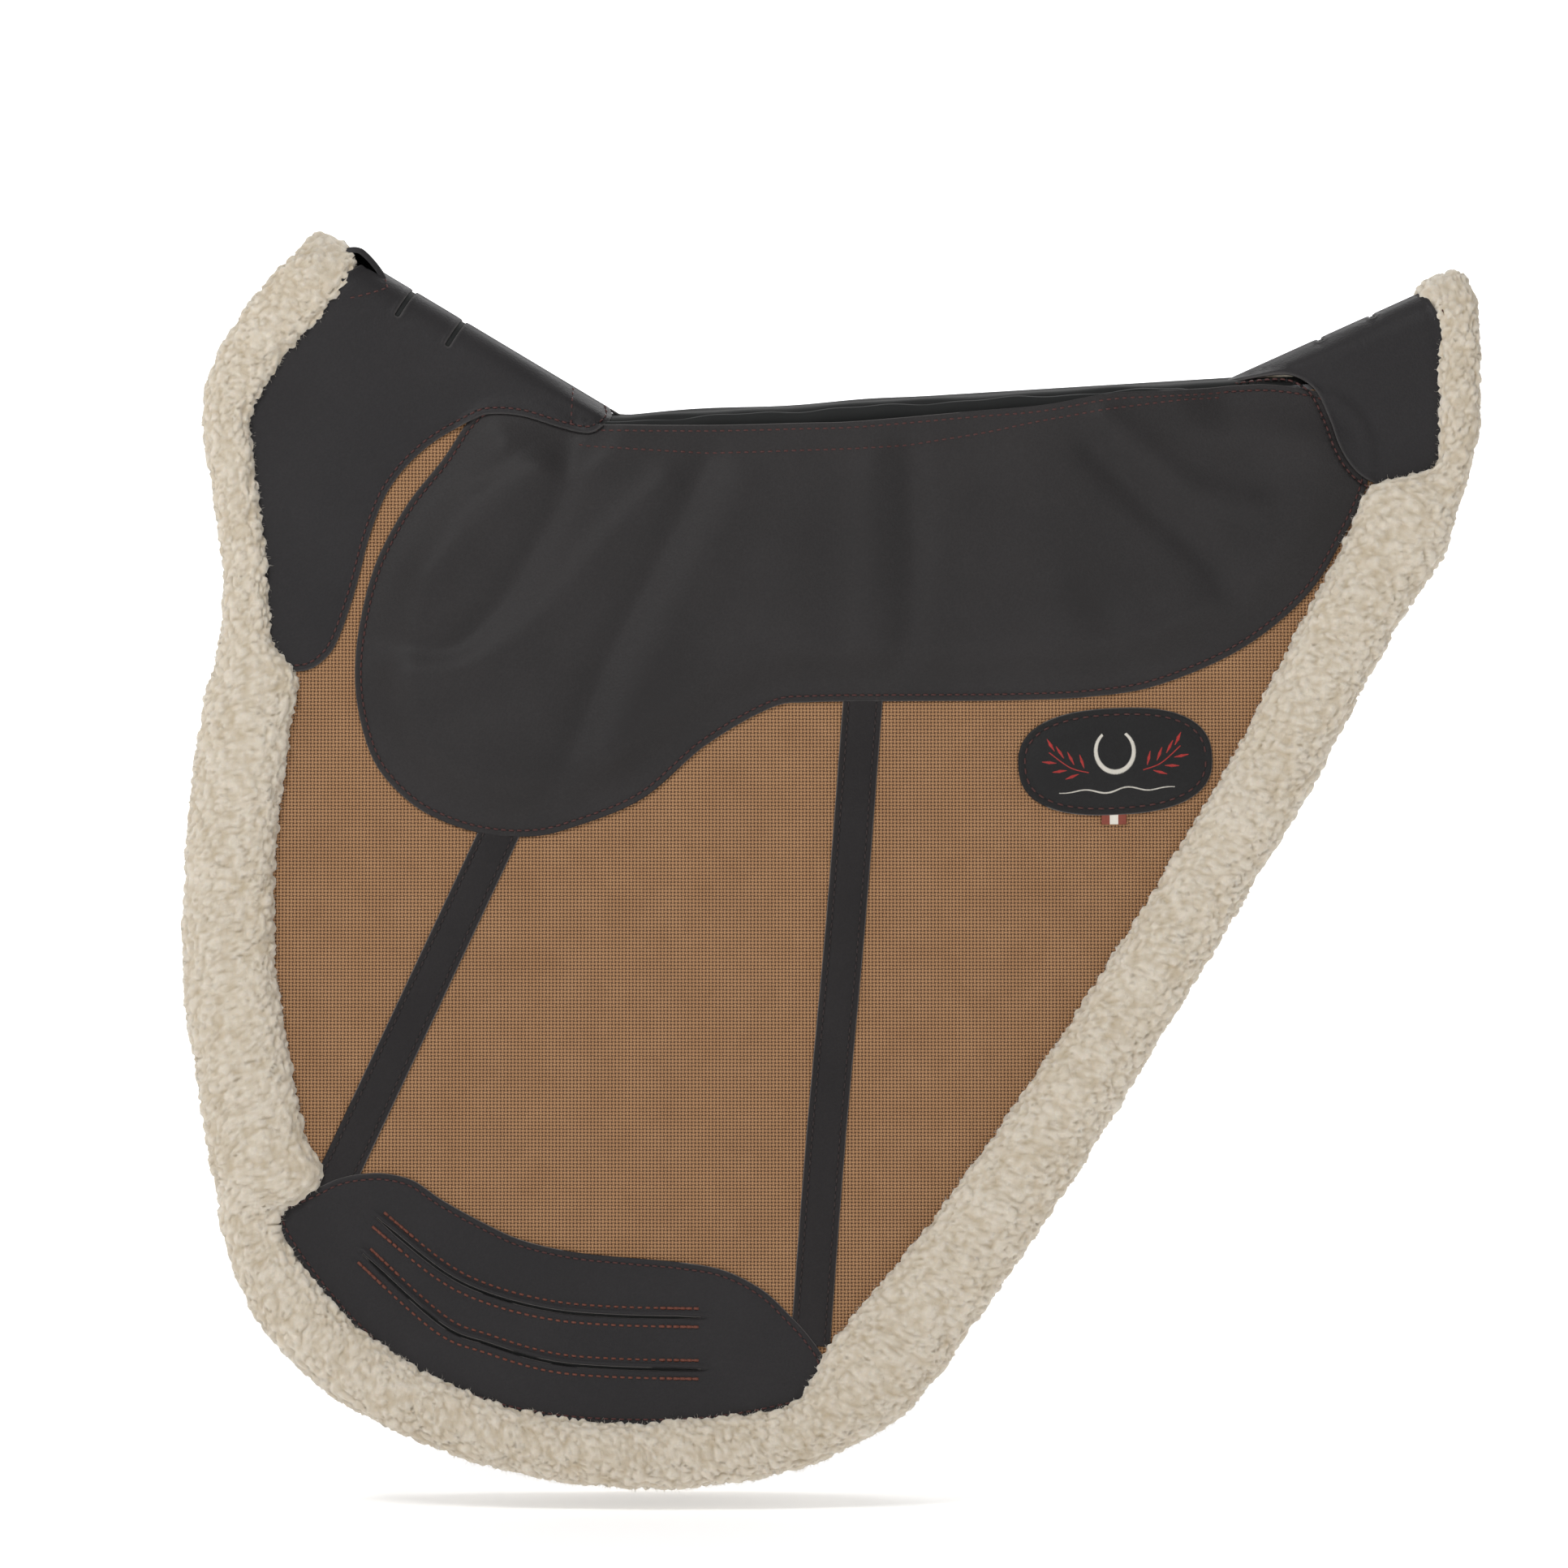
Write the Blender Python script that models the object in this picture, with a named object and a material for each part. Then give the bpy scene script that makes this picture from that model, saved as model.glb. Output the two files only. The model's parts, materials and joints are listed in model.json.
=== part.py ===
"""A fleece-lined saddle pad, folded over its spine as it hangs in a tack room.

X runs from the horse's front (-X) to its rear (+X), Y from its left side (-Y) to its right
(+Y), and Z is up. The origin is on the fold line, in the middle of the spine strip. The spine is
one body, and each side hangs from it on a hinge along the outer edge of the fold.
"""

from math import atan2, cos, hypot, pi, radians, sin

import bmesh
import bpy
from mathutils import Matrix, Quaternion, Vector

MM = 0.001

# Fold and flare
FOLD_SLOPE = 0.0605          # the spine rises towards the rear by this much a unit length
AXIS_Y = 18.5                # the hinge lines run this far either side of the middle
FLARE = radians(3.0)         # how far each side stands out from straight down at rest
CLOSED_GAP = 3.0             # from the middle to each lining, at the fold
SEAM = 0.15                  # half the gap that two pieces keep where they meet
GAP = 0.3                    # gap between two layers

# Layers of a side, measured outwards from the lining's inner face
LINING = (0.0, 9.6)
CORE = (9.9, 13.4)
MESH = (13.7, 14.9)
TRIM_BASE = 15.2             # everything that is sewn on starts here
WING_THICK = 1.8
BAND_THICK = 1.6
BADGE_THICK = 2.0
TAG_THICK = 0.6
PATCH_THICK = 2.2
POCKET_LINING_THICK = 0.8
INSERT = (16.4, 24.4)
POCKET_OUTER = 26.5
POCKET_WALL = 1.8

# Rolled edge
ROLL_MIDDLE = 13.0           # its middle, measured as the layers are
ROLL_FLATNESS = 0.6          # its thickness over its width
ROLL_STEP = 16.0             # spacing of its rings
ROLL_JOIN = 2.0              # gap between two of its lengths
ROLL_CLEARANCE = 1.5         # the layers stop this far inside it

# Spine covers: an arch over each ridge
ARCH_OUTER = 18.0
COVER_THICK = 1.8
FLEECE_OUTER = ARCH_OUTER - COVER_THICK - GAP
FLEECE_INNER = 3.0
ROLL_ARCH_OUTER = 17.7
ARCH_STEPS = 14
ARCH_LEG = 130.0             # the arch's legs and ends run past the outline that cuts them
ARCH_REACH = 60.0
ARCH_PRISM = 80.0            # width of the prism that cuts it
SLOT_WIDTH = 3.0
SLOT_DROP = 14.0
FRONT_RIDGE = ((-239.0, 73.0), (-115.0, -1.0))
REAR_RIDGE = ((199.0, 13.0), (296.0, 57.0))
FRONT_SLOTS = (0.195, 0.40)  # places along the front ridge, as shares of its length
REAR_SLOTS = (0.49, 0.76)
FRONT_ROLL_RISE = 4.0        # the rolled edge stands this far over the line of the ridge
REAR_ROLL_RISE = 5.0
STRIP = (-114.0, 198.0)
STRIP_HALF_WIDTH = 16.0
STRIP_THICK = 2.0
STRIP_CLEARANCE = 1.0        # between the strip and the layers below it

# Pocket
MOUTH_DROP = 5.0             # the panel's top edge below the fold
POCKET_RIM = 8.0             # width of the sewn rim round the hollow
FACING_DROP = 19.0
INSERT_DROP = 12.0
INSERT_X = (-104.0, 190.0)
INSERT_DEPTH = 118.0
INSERT_CORNER = 26.0
INSERT_PLAY = 1.0            # between the insert and each end of the mouth
LINING_MARGIN = 0.5          # the black lining reaches this far past the insert
CUT_PAST = 2.0               # how far a cutter runs past the face it opens
MOUTH_TOP = 60.0             # the mouth's cutter ends this high over the fold

# Outlines are seen from the left side, as (x, z) in millimetres. Each is smoothed between the
# points. The rolled edge's path also gives its half width, from the front down and round.
EDGE_PATH = [
    (-307, -22, 11.5), (-304, -40, 11.5), (-299, -75, 11), (-298, -108, 12), (-299, -128, 14),
    (-298, -150, 22), (-303, -198, 23.5), (-306, -245, 23), (-305, -292, 23.5), (-298, -342, 24),
    (-291, -374, 24), (-293, -395, 18), (-295, -412, 14.5), (-284, -440, 18), (-262, -468, 18.5),
    (-228, -494, 17), (-175, -517, 16), (-114, -528, 16.5), (-56, -526, 16.5), (-16, -518, 16),
    (14, -500, 20), (32, -474, 24), (48, -451, 24), (80, -407, 23), (108, -367, 22.5),
    (137, -321, 21.5), (165, -277, 21), (192, -232, 21), (220, -186, 21), (246, -135, 21.5),
    (269, -92, 22), (287, -66, 19), (306, -48, 10), (314, -24, 8.5), (315.5, 0, 10),
    (316, 18, 10),
]
FRONT_ROLL_END = 9           # the path's points where one length of the roll ends
BOTTOM_ROLL_END = 22
FRONT_COVER = [
    (-238, 92), (-239.5, 72), (-248, 60), (-273, 40), (-286, 18), (-294, 2), (-295, -18),
    (-295, -45), (-270, -70), (-150, -70), (-113, -40), (-113, -10), (-113, 20), (-150, 80),
]
REAR_COVER = [
    (199, 60), (199, 12), (206, -30), (303, -40), (304.5, -10), (304, 9), (303, 27), (301, 42),
    (296, 57), (290, 80),
]
FRONT_PEAK = [
    (-254, 70), (-255, 98), (-266, 96), (-283, 67), (-309, 34), (-320, 15), (-322, 0),
    (-321, -20), (-318, -50), (-298, -50), (-297, -20), (-296, 2), (-288, 19), (-275, 42),
    (-257, 56),
]
REAR_PEAK = [
    (298, 58), (299, 82), (318, 82), (326, 55), (326, 25), (325, 5), (324, -20), (308, -30),
    (306, -10), (305.5, 9), (304.5, 27), (302.5, 43),
]
FRONT_WING = [
    (-294, 10), (-240, 20), (-178, 12), (-179, -3), (-190, -11), (-202, -17), (-216, -29),
    (-226, -42), (-237, -70), (-245, -100), (-251, -117), (-258, -128), (-268, -133),
    (-281, -133), (-284, -122), (-285, -105), (-287, -75), (-290, -45), (-293.5, -22),
]
REAR_WING = [
    (214, 30), (237, 13), (244, 6), (250, -8), (254, -20), (260, -30), (268, -37), (280, -41),
    (294, -44), (301, -38), (304, -22), (304.5, 0), (304.5, 17), (300, 40), (250, 50),
]
POCKET = [
    (-150, 25), (-170, 4), (-177, -10), (-185, -17), (-199, -29), (-217, -50), (-232, -78),
    (-240, -107), (-243, -135), (-240, -160), (-232, -182), (-217, -199), (-201, -209),
    (-180, -216), (-156, -218), (-135, -214), (-98, -199), (-66, -172), (-33, -153),
    (-12, -150), (90, -149), (131, -147), (164, -141), (205, -123), (238, -96), (257, -62),
    (258, -45), (248, -26), (243, -9), (237, 3), (225, 18), (190, 50),
]
BAND_WIDTH = 20.0
FRONT_BAND = [(-171, -222.5), (-215, -300), (-247, -384)]
REAR_BAND = [(13.5, -151.5), (-5, -369), (-12, -459)]
PATCH = [
    (-278, -405), (-269, -399), (-255, -393), (-241, -388), (-226, -387), (-211, -389),
    (-186, -405), (-152, -422), (-128, -428), (-82, -432), (-64, -436), (-46, -444),
    (-30, -455), (-18, -466), (-10, -477), (-9, -486), (-13, -495), (-22, -500),
    (-54, -507), (-82, -509), (-114, -509), (-145, -505), (-175, -498), (-197, -489),
    (-219, -477), (-238, -461), (-252, -446), (-264, -431), (-273, -416),
]
UPPER_SLIT = [(-231, -410), (-199, -436), (-175, -448), (-144, -456), (-112, -459), (-68, -460)]
LOWER_SLIT = [(-238, -428), (-199, -463), (-175, -473), (-144, -482), (-112, -485), (-68, -486)]
SLIT_WIDTH = 1.6
BADGE_MIDDLE = (141.0, -180.0)
BADGE_HALF = (49.0, 27.0)
BADGE_TILT = radians(3.0)
BADGE_SQUARENESS = 2.5       # a superellipse: 2 is an ellipse, more is squarer
TAG = (134.0, 146.5, -212.5, -207.5)

# Loop at the front end of the ridge
LOOP_WIDTH = 22.0
LOOP_LENGTH = 9.0
LOOP_THICK = 2.0
LOOP_BEND = 2.6              # radius of its nose, to the middle of the leather
LOOP_START = (-243.5, 70.5)

# Materials: colour, roughness
FINISHES = {
    "cover_leather": ((0.031, 0.027, 0.027), 0.62),
    "pocket_leather": ((0.035, 0.029, 0.029), 0.60),
    "band_leather": ((0.020, 0.016, 0.016), 0.55),
    "fleece": ((0.77, 0.70, 0.58), 0.95),
    "foam": ((0.20, 0.20, 0.21), 0.90),
    "tan_mesh": ((0.38, 0.19, 0.08), 0.75),
    "black_lining": ((0.008, 0.009, 0.009), 0.45),
    "badge_leather": ((0.016, 0.015, 0.015), 0.60),
    "woven_tag": ((0.62, 0.58, 0.50), 0.85),
}


def clear_scene():
    for obj in list(bpy.data.objects):
        bpy.data.objects.remove(obj, do_unlink=True)


def new_collection(name):
    collection = bpy.data.collections.new(name)
    bpy.context.scene.collection.children.link(collection)
    return collection


def new_material(name):
    color, roughness = FINISHES[name]
    material = bpy.data.materials.new(name)
    material.use_nodes = True
    shader = material.node_tree.nodes["Principled BSDF"]
    shader.inputs["Base Color"].default_value = (*color, 1.0)
    shader.inputs["Roughness"].default_value = roughness
    shader.inputs["Metallic"].default_value = 0.0
    return material


def fold_height(x):
    """Height of the fold line at x."""
    return FOLD_SLOPE * x


def smooth(points, steps=3, closed=True):
    """Points along a Catmull-Rom curve through the given ones, of any dimension."""
    count = len(points)
    spans = count if closed else count - 1
    out = []
    for i in range(spans):
        near = [i - 1, i, i + 1, i + 2]
        ends = [k % count if closed else min(max(k, 0), count - 1) for k in near]
        p = [Vector(points[k]) for k in ends]
        for step in range(steps):
            t = step / steps
            out.append(
                0.5 * (2 * p[1] + (p[2] - p[0]) * t
                       + (2 * p[0] - 5 * p[1] + 4 * p[2] - p[3]) * t * t
                       + (3 * p[1] - p[0] - 3 * p[2] + p[3]) * t ** 3)
            )
    if not closed:
        out.append(Vector(points[-1]))
    return out


def below_line(points, drop):
    """The outline's part that lies at least this far below the fold line, closed along it."""
    out = []
    for i, here in enumerate(points):
        there = points[(i + 1) % len(points)]
        a = here[1] - fold_height(here[0]) + drop
        b = there[1] - fold_height(there[0]) + drop
        if a <= 0:
            out.append(Vector(here[:2]))
        if (a <= 0) != (b <= 0):
            share = a / (a - b)
            out.append(Vector(here[:2]).lerp(Vector(there[:2]), share))
    return out


def offset(points, distance):
    """A closed outline moved inwards by a distance, point by point."""
    count = len(points)
    area = sum(points[i - 1][0] * points[i][1] - points[i][0] * points[i - 1][1]
               for i in range(count))
    turn = 1 if area > 0 else -1
    out = []
    for i in range(count):
        along = (Vector(points[(i + 1) % count]) - Vector(points[i - 1])).normalized()
        out.append(Vector(points[i]) + Vector((-along.y, along.x)) * turn * distance)
    return out


def beside(points, distance):
    """An open line moved to its left by a distance."""
    out = []
    for i, point in enumerate(points):
        before = points[max(i - 1, 0)]
        after = points[min(i + 1, len(points) - 1)]
        along = (Vector(after[:2]) - Vector(before[:2])).normalized()
        out.append(Vector(point[:2]) + Vector((-along.y, along.x)) * distance)
    return out


def ribbon(line, width):
    """The outline of a ribbon of this width along an open line."""
    return beside(line, width / 2) + beside(line, -width / 2)[::-1]


def superellipse(middle, half, tilt, power, count=36):
    out = []
    for i in range(count):
        a = 2 * pi * i / count
        x = half[0] * abs(cos(a)) ** (2 / power) * (1 if cos(a) >= 0 else -1)
        z = half[1] * abs(sin(a)) ** (2 / power) * (1 if sin(a) >= 0 else -1)
        out.append(Vector((middle[0] + x * cos(tilt) - z * sin(tilt),
                           middle[1] + x * sin(tilt) + z * cos(tilt))))
    return out


def outline_object(name, outlines, thickness, collection):
    """A flat outline, with the later ones as holes in it, standing in the XZ plane."""
    curve = bpy.data.curves.new(name, "CURVE")
    curve.dimensions = "2D"
    curve.fill_mode = "BOTH"
    curve.extrude = thickness * MM / 2
    for outline in outlines:
        spline = curve.splines.new("POLY")
        spline.points.add(len(outline) - 1)
        for point, place in zip(spline.points, outline):
            point.co = (place[0] * MM, place[1] * MM, 0, 1)
        spline.use_cyclic_u = True
    obj = bpy.data.objects.new(name, curve)
    obj.rotation_euler = (pi / 2, 0, 0)
    collection.objects.link(obj)
    return obj


def as_mesh(obj, collection):
    """The object as a mesh with its caps welded, in the same place; the curve is removed."""
    bpy.context.view_layer.update()
    evaluated = obj.evaluated_get(bpy.context.evaluated_depsgraph_get())
    mesh = bpy.data.meshes.new_from_object(evaluated)
    form = bmesh.new()
    form.from_mesh(mesh)
    bmesh.ops.remove_doubles(form, verts=form.verts, dist=0.00001)
    form.to_mesh(mesh)
    form.free()
    name, place, parent = obj.name, obj.matrix_world.copy(), obj.parent
    bpy.data.objects.remove(obj, do_unlink=True)
    made = bpy.data.objects.new(name, mesh)
    made.parent = parent
    made.matrix_world = place
    collection.objects.link(made)
    return made


def boolean(obj, other, operation):
    modifier = obj.modifiers.new(operation.title(), "BOOLEAN")
    modifier.operation = operation
    modifier.solver = "EXACT"
    modifier.object = other
    other.hide_render = True
    other.display_type = "WIRE"


def layer(name, outlines, low, high, side, hinge, material, collection):
    """A flat layer of one side, between two depths counted outwards from the lining."""
    obj = outline_object(name, outlines, high - low, collection)
    obj.parent = hinge
    depth = CLOSED_GAP + (low + high) / 2 - AXIS_Y
    obj.location = (0, side * depth * MM, 0)
    obj.data.materials.append(material)
    return obj


def edge_rings():
    """The rolled edge's path as smoothed (x, z, half width) rings, and where it is broken."""
    rings = []
    breaks = []
    for i in range(len(EDGE_PATH) - 1):
        if i in (FRONT_ROLL_END, BOTTOM_ROLL_END):
            breaks.append(len(rings))
        here, there = EDGE_PATH[i], EDGE_PATH[i + 1]
        steps = max(1, round(hypot(there[0] - here[0], there[1] - here[1]) / ROLL_STEP))
        window = [EDGE_PATH[max(i - 1, 0)], here, there,
                  EDGE_PATH[min(i + 2, len(EDGE_PATH) - 1)]]
        rings += smooth(window, steps, closed=False)[steps:2 * steps]
    rings.append(Vector(EDGE_PATH[-1]))
    return rings, breaks


def inner_edge(rings):
    """The line that the layers are cut to: just inside the rolled edge."""
    out = []
    for i, ring in enumerate(rings):
        before = rings[max(i - 1, 0)]
        after = rings[min(i + 1, len(rings) - 1)]
        along = (after.xy - before.xy).normalized()
        out.append(ring.xy + Vector((-along.y, along.x)) * (ring.z + ROLL_CLEARANCE))
    return out


def roll(name, rings, side, hinge, material, collection):
    """A length of rolled edge: a tube of changing width, flattened across the pad."""
    curve = bpy.data.curves.new(name, "CURVE")
    curve.dimensions = "3D"
    curve.bevel_depth = MM
    curve.bevel_resolution = 3
    curve.use_fill_caps = True
    spline = curve.splines.new("POLY")
    spline.points.add(len(rings) - 1)
    for point, (x, z, half) in zip(spline.points, rings):
        point.co = (x * MM, 0, z * MM, 1)
        point.radius = half
    obj = bpy.data.objects.new(name, curve)
    obj.parent = hinge
    obj.location = (0, side * (CLOSED_GAP + ROLL_MIDDLE - AXIS_Y) * MM, 0)
    obj.scale = (1, ROLL_FLATNESS, 1)
    curve.materials.append(material)
    collection.objects.link(obj)
    return obj


def shortened(rings, at_start, at_end):
    """The rings with the first and last moved in along the path, to leave a gap there."""
    out = [ring.copy() for ring in rings]
    if at_start:
        out[0] = out[0].lerp(out[1], at_start / (out[1].xy - out[0].xy).length)
    if at_end:
        out[-1] = out[-1].lerp(out[-2], at_end / (out[-2].xy - out[-1].xy).length)
    return out


def arch(name, ridge, rise, outer, inner, outline, material, collection, cutters):
    """An arch of cloth over a ridge, cut to an outline that is seen from the side."""
    start, end = (Vector(p) for p in ridge)
    along = (end - start).normalized()
    profile = [(outer * sin(a), outer * cos(a) - outer)
               for a in (pi / 2 * (2 * k / ARCH_STEPS - 1) for k in range(ARCH_STEPS + 1))]
    hollow = [(inner * y / outer, inner * (z / outer + 1) - outer) for y, z in profile]
    loop = ([(-outer, -ARCH_LEG)] + profile + [(outer, -ARCH_LEG), (inner, -ARCH_LEG)]
            + hollow[::-1] + [(-inner, -ARCH_LEG)])
    length = (end - start).length + 2 * ARCH_REACH
    obj = outline_object(name, [loop], length, collection)
    middle = (start + end) / 2 + Vector((-along.y, along.x)) * rise
    across, up = Vector((0, 1, 0)), Vector((-along.y, 0, along.x))
    forward = across.cross(up)
    turn = Matrix((across, up, forward)).transposed().to_4x4()
    obj.rotation_euler = (0, 0, 0)
    obj.matrix_world = Matrix.Translation(Vector((middle.x, 0, middle.y)) * MM) @ turn
    obj = as_mesh(obj, collection)
    obj.data.materials.clear()
    obj.data.materials.append(material)
    prism = as_mesh(outline_object(name + "_outline", [outline], ARCH_PRISM, cutters), cutters)
    boolean(obj, prism, "INTERSECT")
    return obj


def above_line(points, lift):
    """The outline's part that lies at least this far above the fold line."""
    mirrored = [(x, 2 * fold_height(x) - z) for x, z in points]
    return [Vector((x, 2 * fold_height(x) - z)) for x, z in below_line(mirrored, lift)]


def cut_slots(cover, ridge, shares, cutters):
    """Cuts strap slots across the ridge, each reaching the same way down both of its sides."""
    start, end = (Vector(p) for p in ridge)
    along = (end - start).normalized()
    for number, share in enumerate(shares):
        middle = start.lerp(end, share)
        bpy.ops.mesh.primitive_cube_add(size=1)
        box = bpy.context.object
        box.name = f"{cover.name}_slot_{number + 1}"
        box.scale = (SLOT_WIDTH * MM, 3 * ARCH_OUTER * MM, 2 * SLOT_DROP * MM)
        box.rotation_euler = (0, -atan2(along.y, along.x), 0)
        box.location = (middle.x * MM, 0, middle.y * MM)
        for collection in list(box.users_collection):
            collection.objects.unlink(box)
        cutters.objects.link(box)
        boolean(cover, box, "DIFFERENCE")


def spine_strip(material, collection):
    """The flat strip between the covers; its top is the fold."""
    length = hypot(1, FOLD_SLOPE) * (STRIP[1] - STRIP[0]) * MM
    bpy.ops.mesh.primitive_cube_add(size=1)
    obj = bpy.context.object
    obj.name = "spine_strip"
    for place in obj.data.vertices:
        place.co = (place.co.x * length, place.co.y * 2 * STRIP_HALF_WIDTH * MM,
                    (place.co.z - 0.5) * STRIP_THICK * MM)
    middle = (STRIP[0] + STRIP[1]) / 2
    obj.location = (middle * MM, 0, fold_height(middle) * MM)
    obj.rotation_euler = (0, -atan2(FOLD_SLOPE, 1), 0)
    obj.data.materials.append(material)
    for other in list(obj.users_collection):
        other.objects.unlink(obj)
    collection.objects.link(obj)


def front_loop(material, collection):
    """A strip of leather folded back on itself, its nose towards the front."""
    start = Vector(LOOP_START)
    ridge = Vector(FRONT_RIDGE[0]) - Vector(FRONT_RIDGE[1])
    ahead = ridge.normalized()
    up = Vector((ahead.y, -ahead.x))
    up = up if up.y > 0 else -up
    straight = LOOP_LENGTH - LOOP_BEND
    line = [start + up * LOOP_BEND]
    for k in range(9):
        a = pi / 2 - pi * k / 8
        line.append(start + ahead * (straight + LOOP_BEND * cos(a)) + up * LOOP_BEND * sin(a))
    line.append(start - up * LOOP_BEND)
    obj = outline_object("front_loop", [ribbon(line, LOOP_THICK)], LOOP_WIDTH, collection)
    obj.data.materials.append(material)


def hinge_empty(name, side, collection):
    """An empty on the hinge line of one side, turned by the side's flare."""
    empty = bpy.data.objects.new(name, None)
    empty.location = (0, side * AXIS_Y * MM, 0)
    axis = Vector((1, 0, FOLD_SLOPE)).normalized()
    empty.rotation_mode = "QUATERNION"
    empty.rotation_quaternion = Quaternion(axis, side * FLARE)
    collection.objects.link(empty)
    return empty


def pocket_panel(name, side, hinge, material, collection, cutters):
    """The pocket's outer leather, with a rim all round and an open mouth at the top."""
    outline = smooth(POCKET)
    panel = layer(name, [below_line(outline, MOUTH_DROP)], TRIM_BASE, POCKET_OUTER, side, hinge,
                  material, collection)
    panel = as_mesh(panel, collection)
    inside = below_line(offset(outline, POCKET_RIM), MOUTH_DROP + POCKET_RIM)
    cuts = (("hollow", inside, POCKET_OUTER - POCKET_WALL),
            ("mouth", mouth_outline(MOUTH_TOP, -FACING_DROP - GAP), POCKET_OUTER + CUT_PAST))
    for part, shape, high in cuts:
        hollow = layer(f"{name}_{part}", [shape], TRIM_BASE - CUT_PAST, high, side, hinge,
                       material, cutters)
        boolean(panel, as_mesh(hollow, cutters), "DIFFERENCE")


def mouth_outline(top, bottom, shrink=0.0):
    """The part of the pocket's mouth between two heights over the fold line."""
    low = INSERT_X[0] - INSERT_PLAY + shrink
    high = INSERT_X[1] + INSERT_PLAY - shrink
    return [(low, fold_height(low) + top), (low, fold_height(low) + bottom),
            (high, fold_height(high) + bottom), (high, fold_height(high) + top)]


def insert_outline(grow):
    """The insert's outline, moved outwards by an amount at its ends and its bottom."""
    low, high = INSERT_X[0] - grow, INSERT_X[1] + grow
    corner = INSERT_CORNER
    bottom = -INSERT_DEPTH - grow
    out = [Vector((low, fold_height(low) - INSERT_DROP))]
    for middle_x, start in ((low + corner, pi), (high - corner, 1.5 * pi)):
        for k in range(7):
            a = start + pi / 2 * k / 6
            out.append(Vector((middle_x + corner * cos(a), bottom + corner + corner * sin(a))))
    out.append(Vector((high, fold_height(high) - INSERT_DROP)))
    return out


def side_parts(word, side, materials, collection, cutters):
    """Everything that hangs from one hinge."""
    hinge = hinge_empty(word + "_hinge", side, collection)

    def add(piece, outlines, low, high, finish):
        name = f"{word}_{piece}"
        return layer(name, outlines, low, high, side, hinge, materials[finish], collection)

    rings, breaks = edge_rings()
    panel = below_line(inner_edge(rings), STRIP_THICK + STRIP_CLEARANCE)
    add("fleece_lining", [panel], *LINING, "fleece")
    add("foam_core", [panel], *CORE, "foam")
    add("mesh_panel", [panel], *MESH, "tan_mesh")

    lengths = {
        "front_roll": shortened(rings[:breaks[0] + 1], 0, ROLL_JOIN),
        "bottom_roll": shortened(rings[breaks[0]:breaks[1] + 1], 0, ROLL_JOIN),
        "rear_roll": rings[breaks[1]:],
    }
    for piece, part_rings in lengths.items():
        roll(f"{word}_{piece}", part_rings, side, hinge, materials["fleece"], collection)

    trim = TRIM_BASE
    for piece, outline in (("front_wing", FRONT_WING), ("rear_wing", REAR_WING)):
        add(piece, [below_line(smooth(outline), SEAM)], trim, trim + WING_THICK, "cover_leather")
    pocket_panel(f"{word}_pocket_panel", side, hinge, materials["pocket_leather"], collection,
                 cutters)
    facing = mouth_outline(-MOUTH_DROP, -FACING_DROP, GAP)
    add("pocket_facing", [facing], POCKET_OUTER - POCKET_WALL, POCKET_OUTER, "pocket_leather")
    add("pocket_lining", [insert_outline(LINING_MARGIN)], trim, trim + POCKET_LINING_THICK, "black_lining")
    add("pocket_insert", [insert_outline(0.0)], *INSERT, "foam")
    for piece, line in (("front_band", FRONT_BAND), ("rear_band", REAR_BAND)):
        add(piece, [ribbon(line, BAND_WIDTH)], trim, trim + BAND_THICK, "band_leather")
    slits = [ribbon(smooth(line, closed=False), SLIT_WIDTH) for line in (UPPER_SLIT, LOWER_SLIT)]
    add("wear_patch", [smooth(PATCH, 2)] + slits, trim, trim + PATCH_THICK, "cover_leather")
    badge = superellipse(BADGE_MIDDLE, BADGE_HALF, BADGE_TILT, BADGE_SQUARENESS)
    add("badge", [badge], trim, trim + BADGE_THICK, "badge_leather")
    low_x, high_x, low_z, high_z = TAG
    tag = [(low_x, low_z), (high_x, low_z), (high_x, high_z), (low_x, high_z)]
    add("badge_tag", [tag], trim, trim + TAG_THICK, "woven_tag")


def main():
    clear_scene()
    collection = new_collection("saddle_pad")
    cutters = new_collection("cutters")
    materials = {name: new_material(name) for name in FINISHES}

    front = above_line(smooth(FRONT_COVER), SEAM)
    rear = above_line(smooth(REAR_COVER), SEAM)
    cover = arch("front_spine_cover", FRONT_RIDGE, 0, ARCH_OUTER, ARCH_OUTER - COVER_THICK, front,
                 materials["cover_leather"], collection, cutters)
    cut_slots(cover, FRONT_RIDGE, FRONT_SLOTS, cutters)
    cover = arch("rear_spine_cover", REAR_RIDGE, 0, ARCH_OUTER, ARCH_OUTER - COVER_THICK, rear,
                 materials["cover_leather"], collection, cutters)
    cut_slots(cover, REAR_RIDGE, REAR_SLOTS, cutters)
    arch("front_spine_fleece", FRONT_RIDGE, -COVER_THICK - GAP, FLEECE_OUTER, FLEECE_INNER, front,
         materials["fleece"], collection, cutters)
    arch("rear_spine_fleece", REAR_RIDGE, -COVER_THICK - GAP, FLEECE_OUTER, FLEECE_INNER, rear,
         materials["fleece"], collection, cutters)
    arch("front_peak_roll", FRONT_RIDGE, FRONT_ROLL_RISE, ROLL_ARCH_OUTER, FLEECE_INNER,
         above_line(smooth(FRONT_PEAK), SEAM), materials["fleece"], collection, cutters)
    arch("rear_peak_roll", REAR_RIDGE, REAR_ROLL_RISE, ROLL_ARCH_OUTER, FLEECE_INNER,
         above_line(smooth(REAR_PEAK), SEAM), materials["fleece"], collection, cutters)
    spine_strip(materials["black_lining"], collection)
    front_loop(materials["cover_leather"], collection)

    side_parts("left", -1, materials, collection, cutters)
    side_parts("right", 1, materials, collection, cutters)


main()
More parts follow.
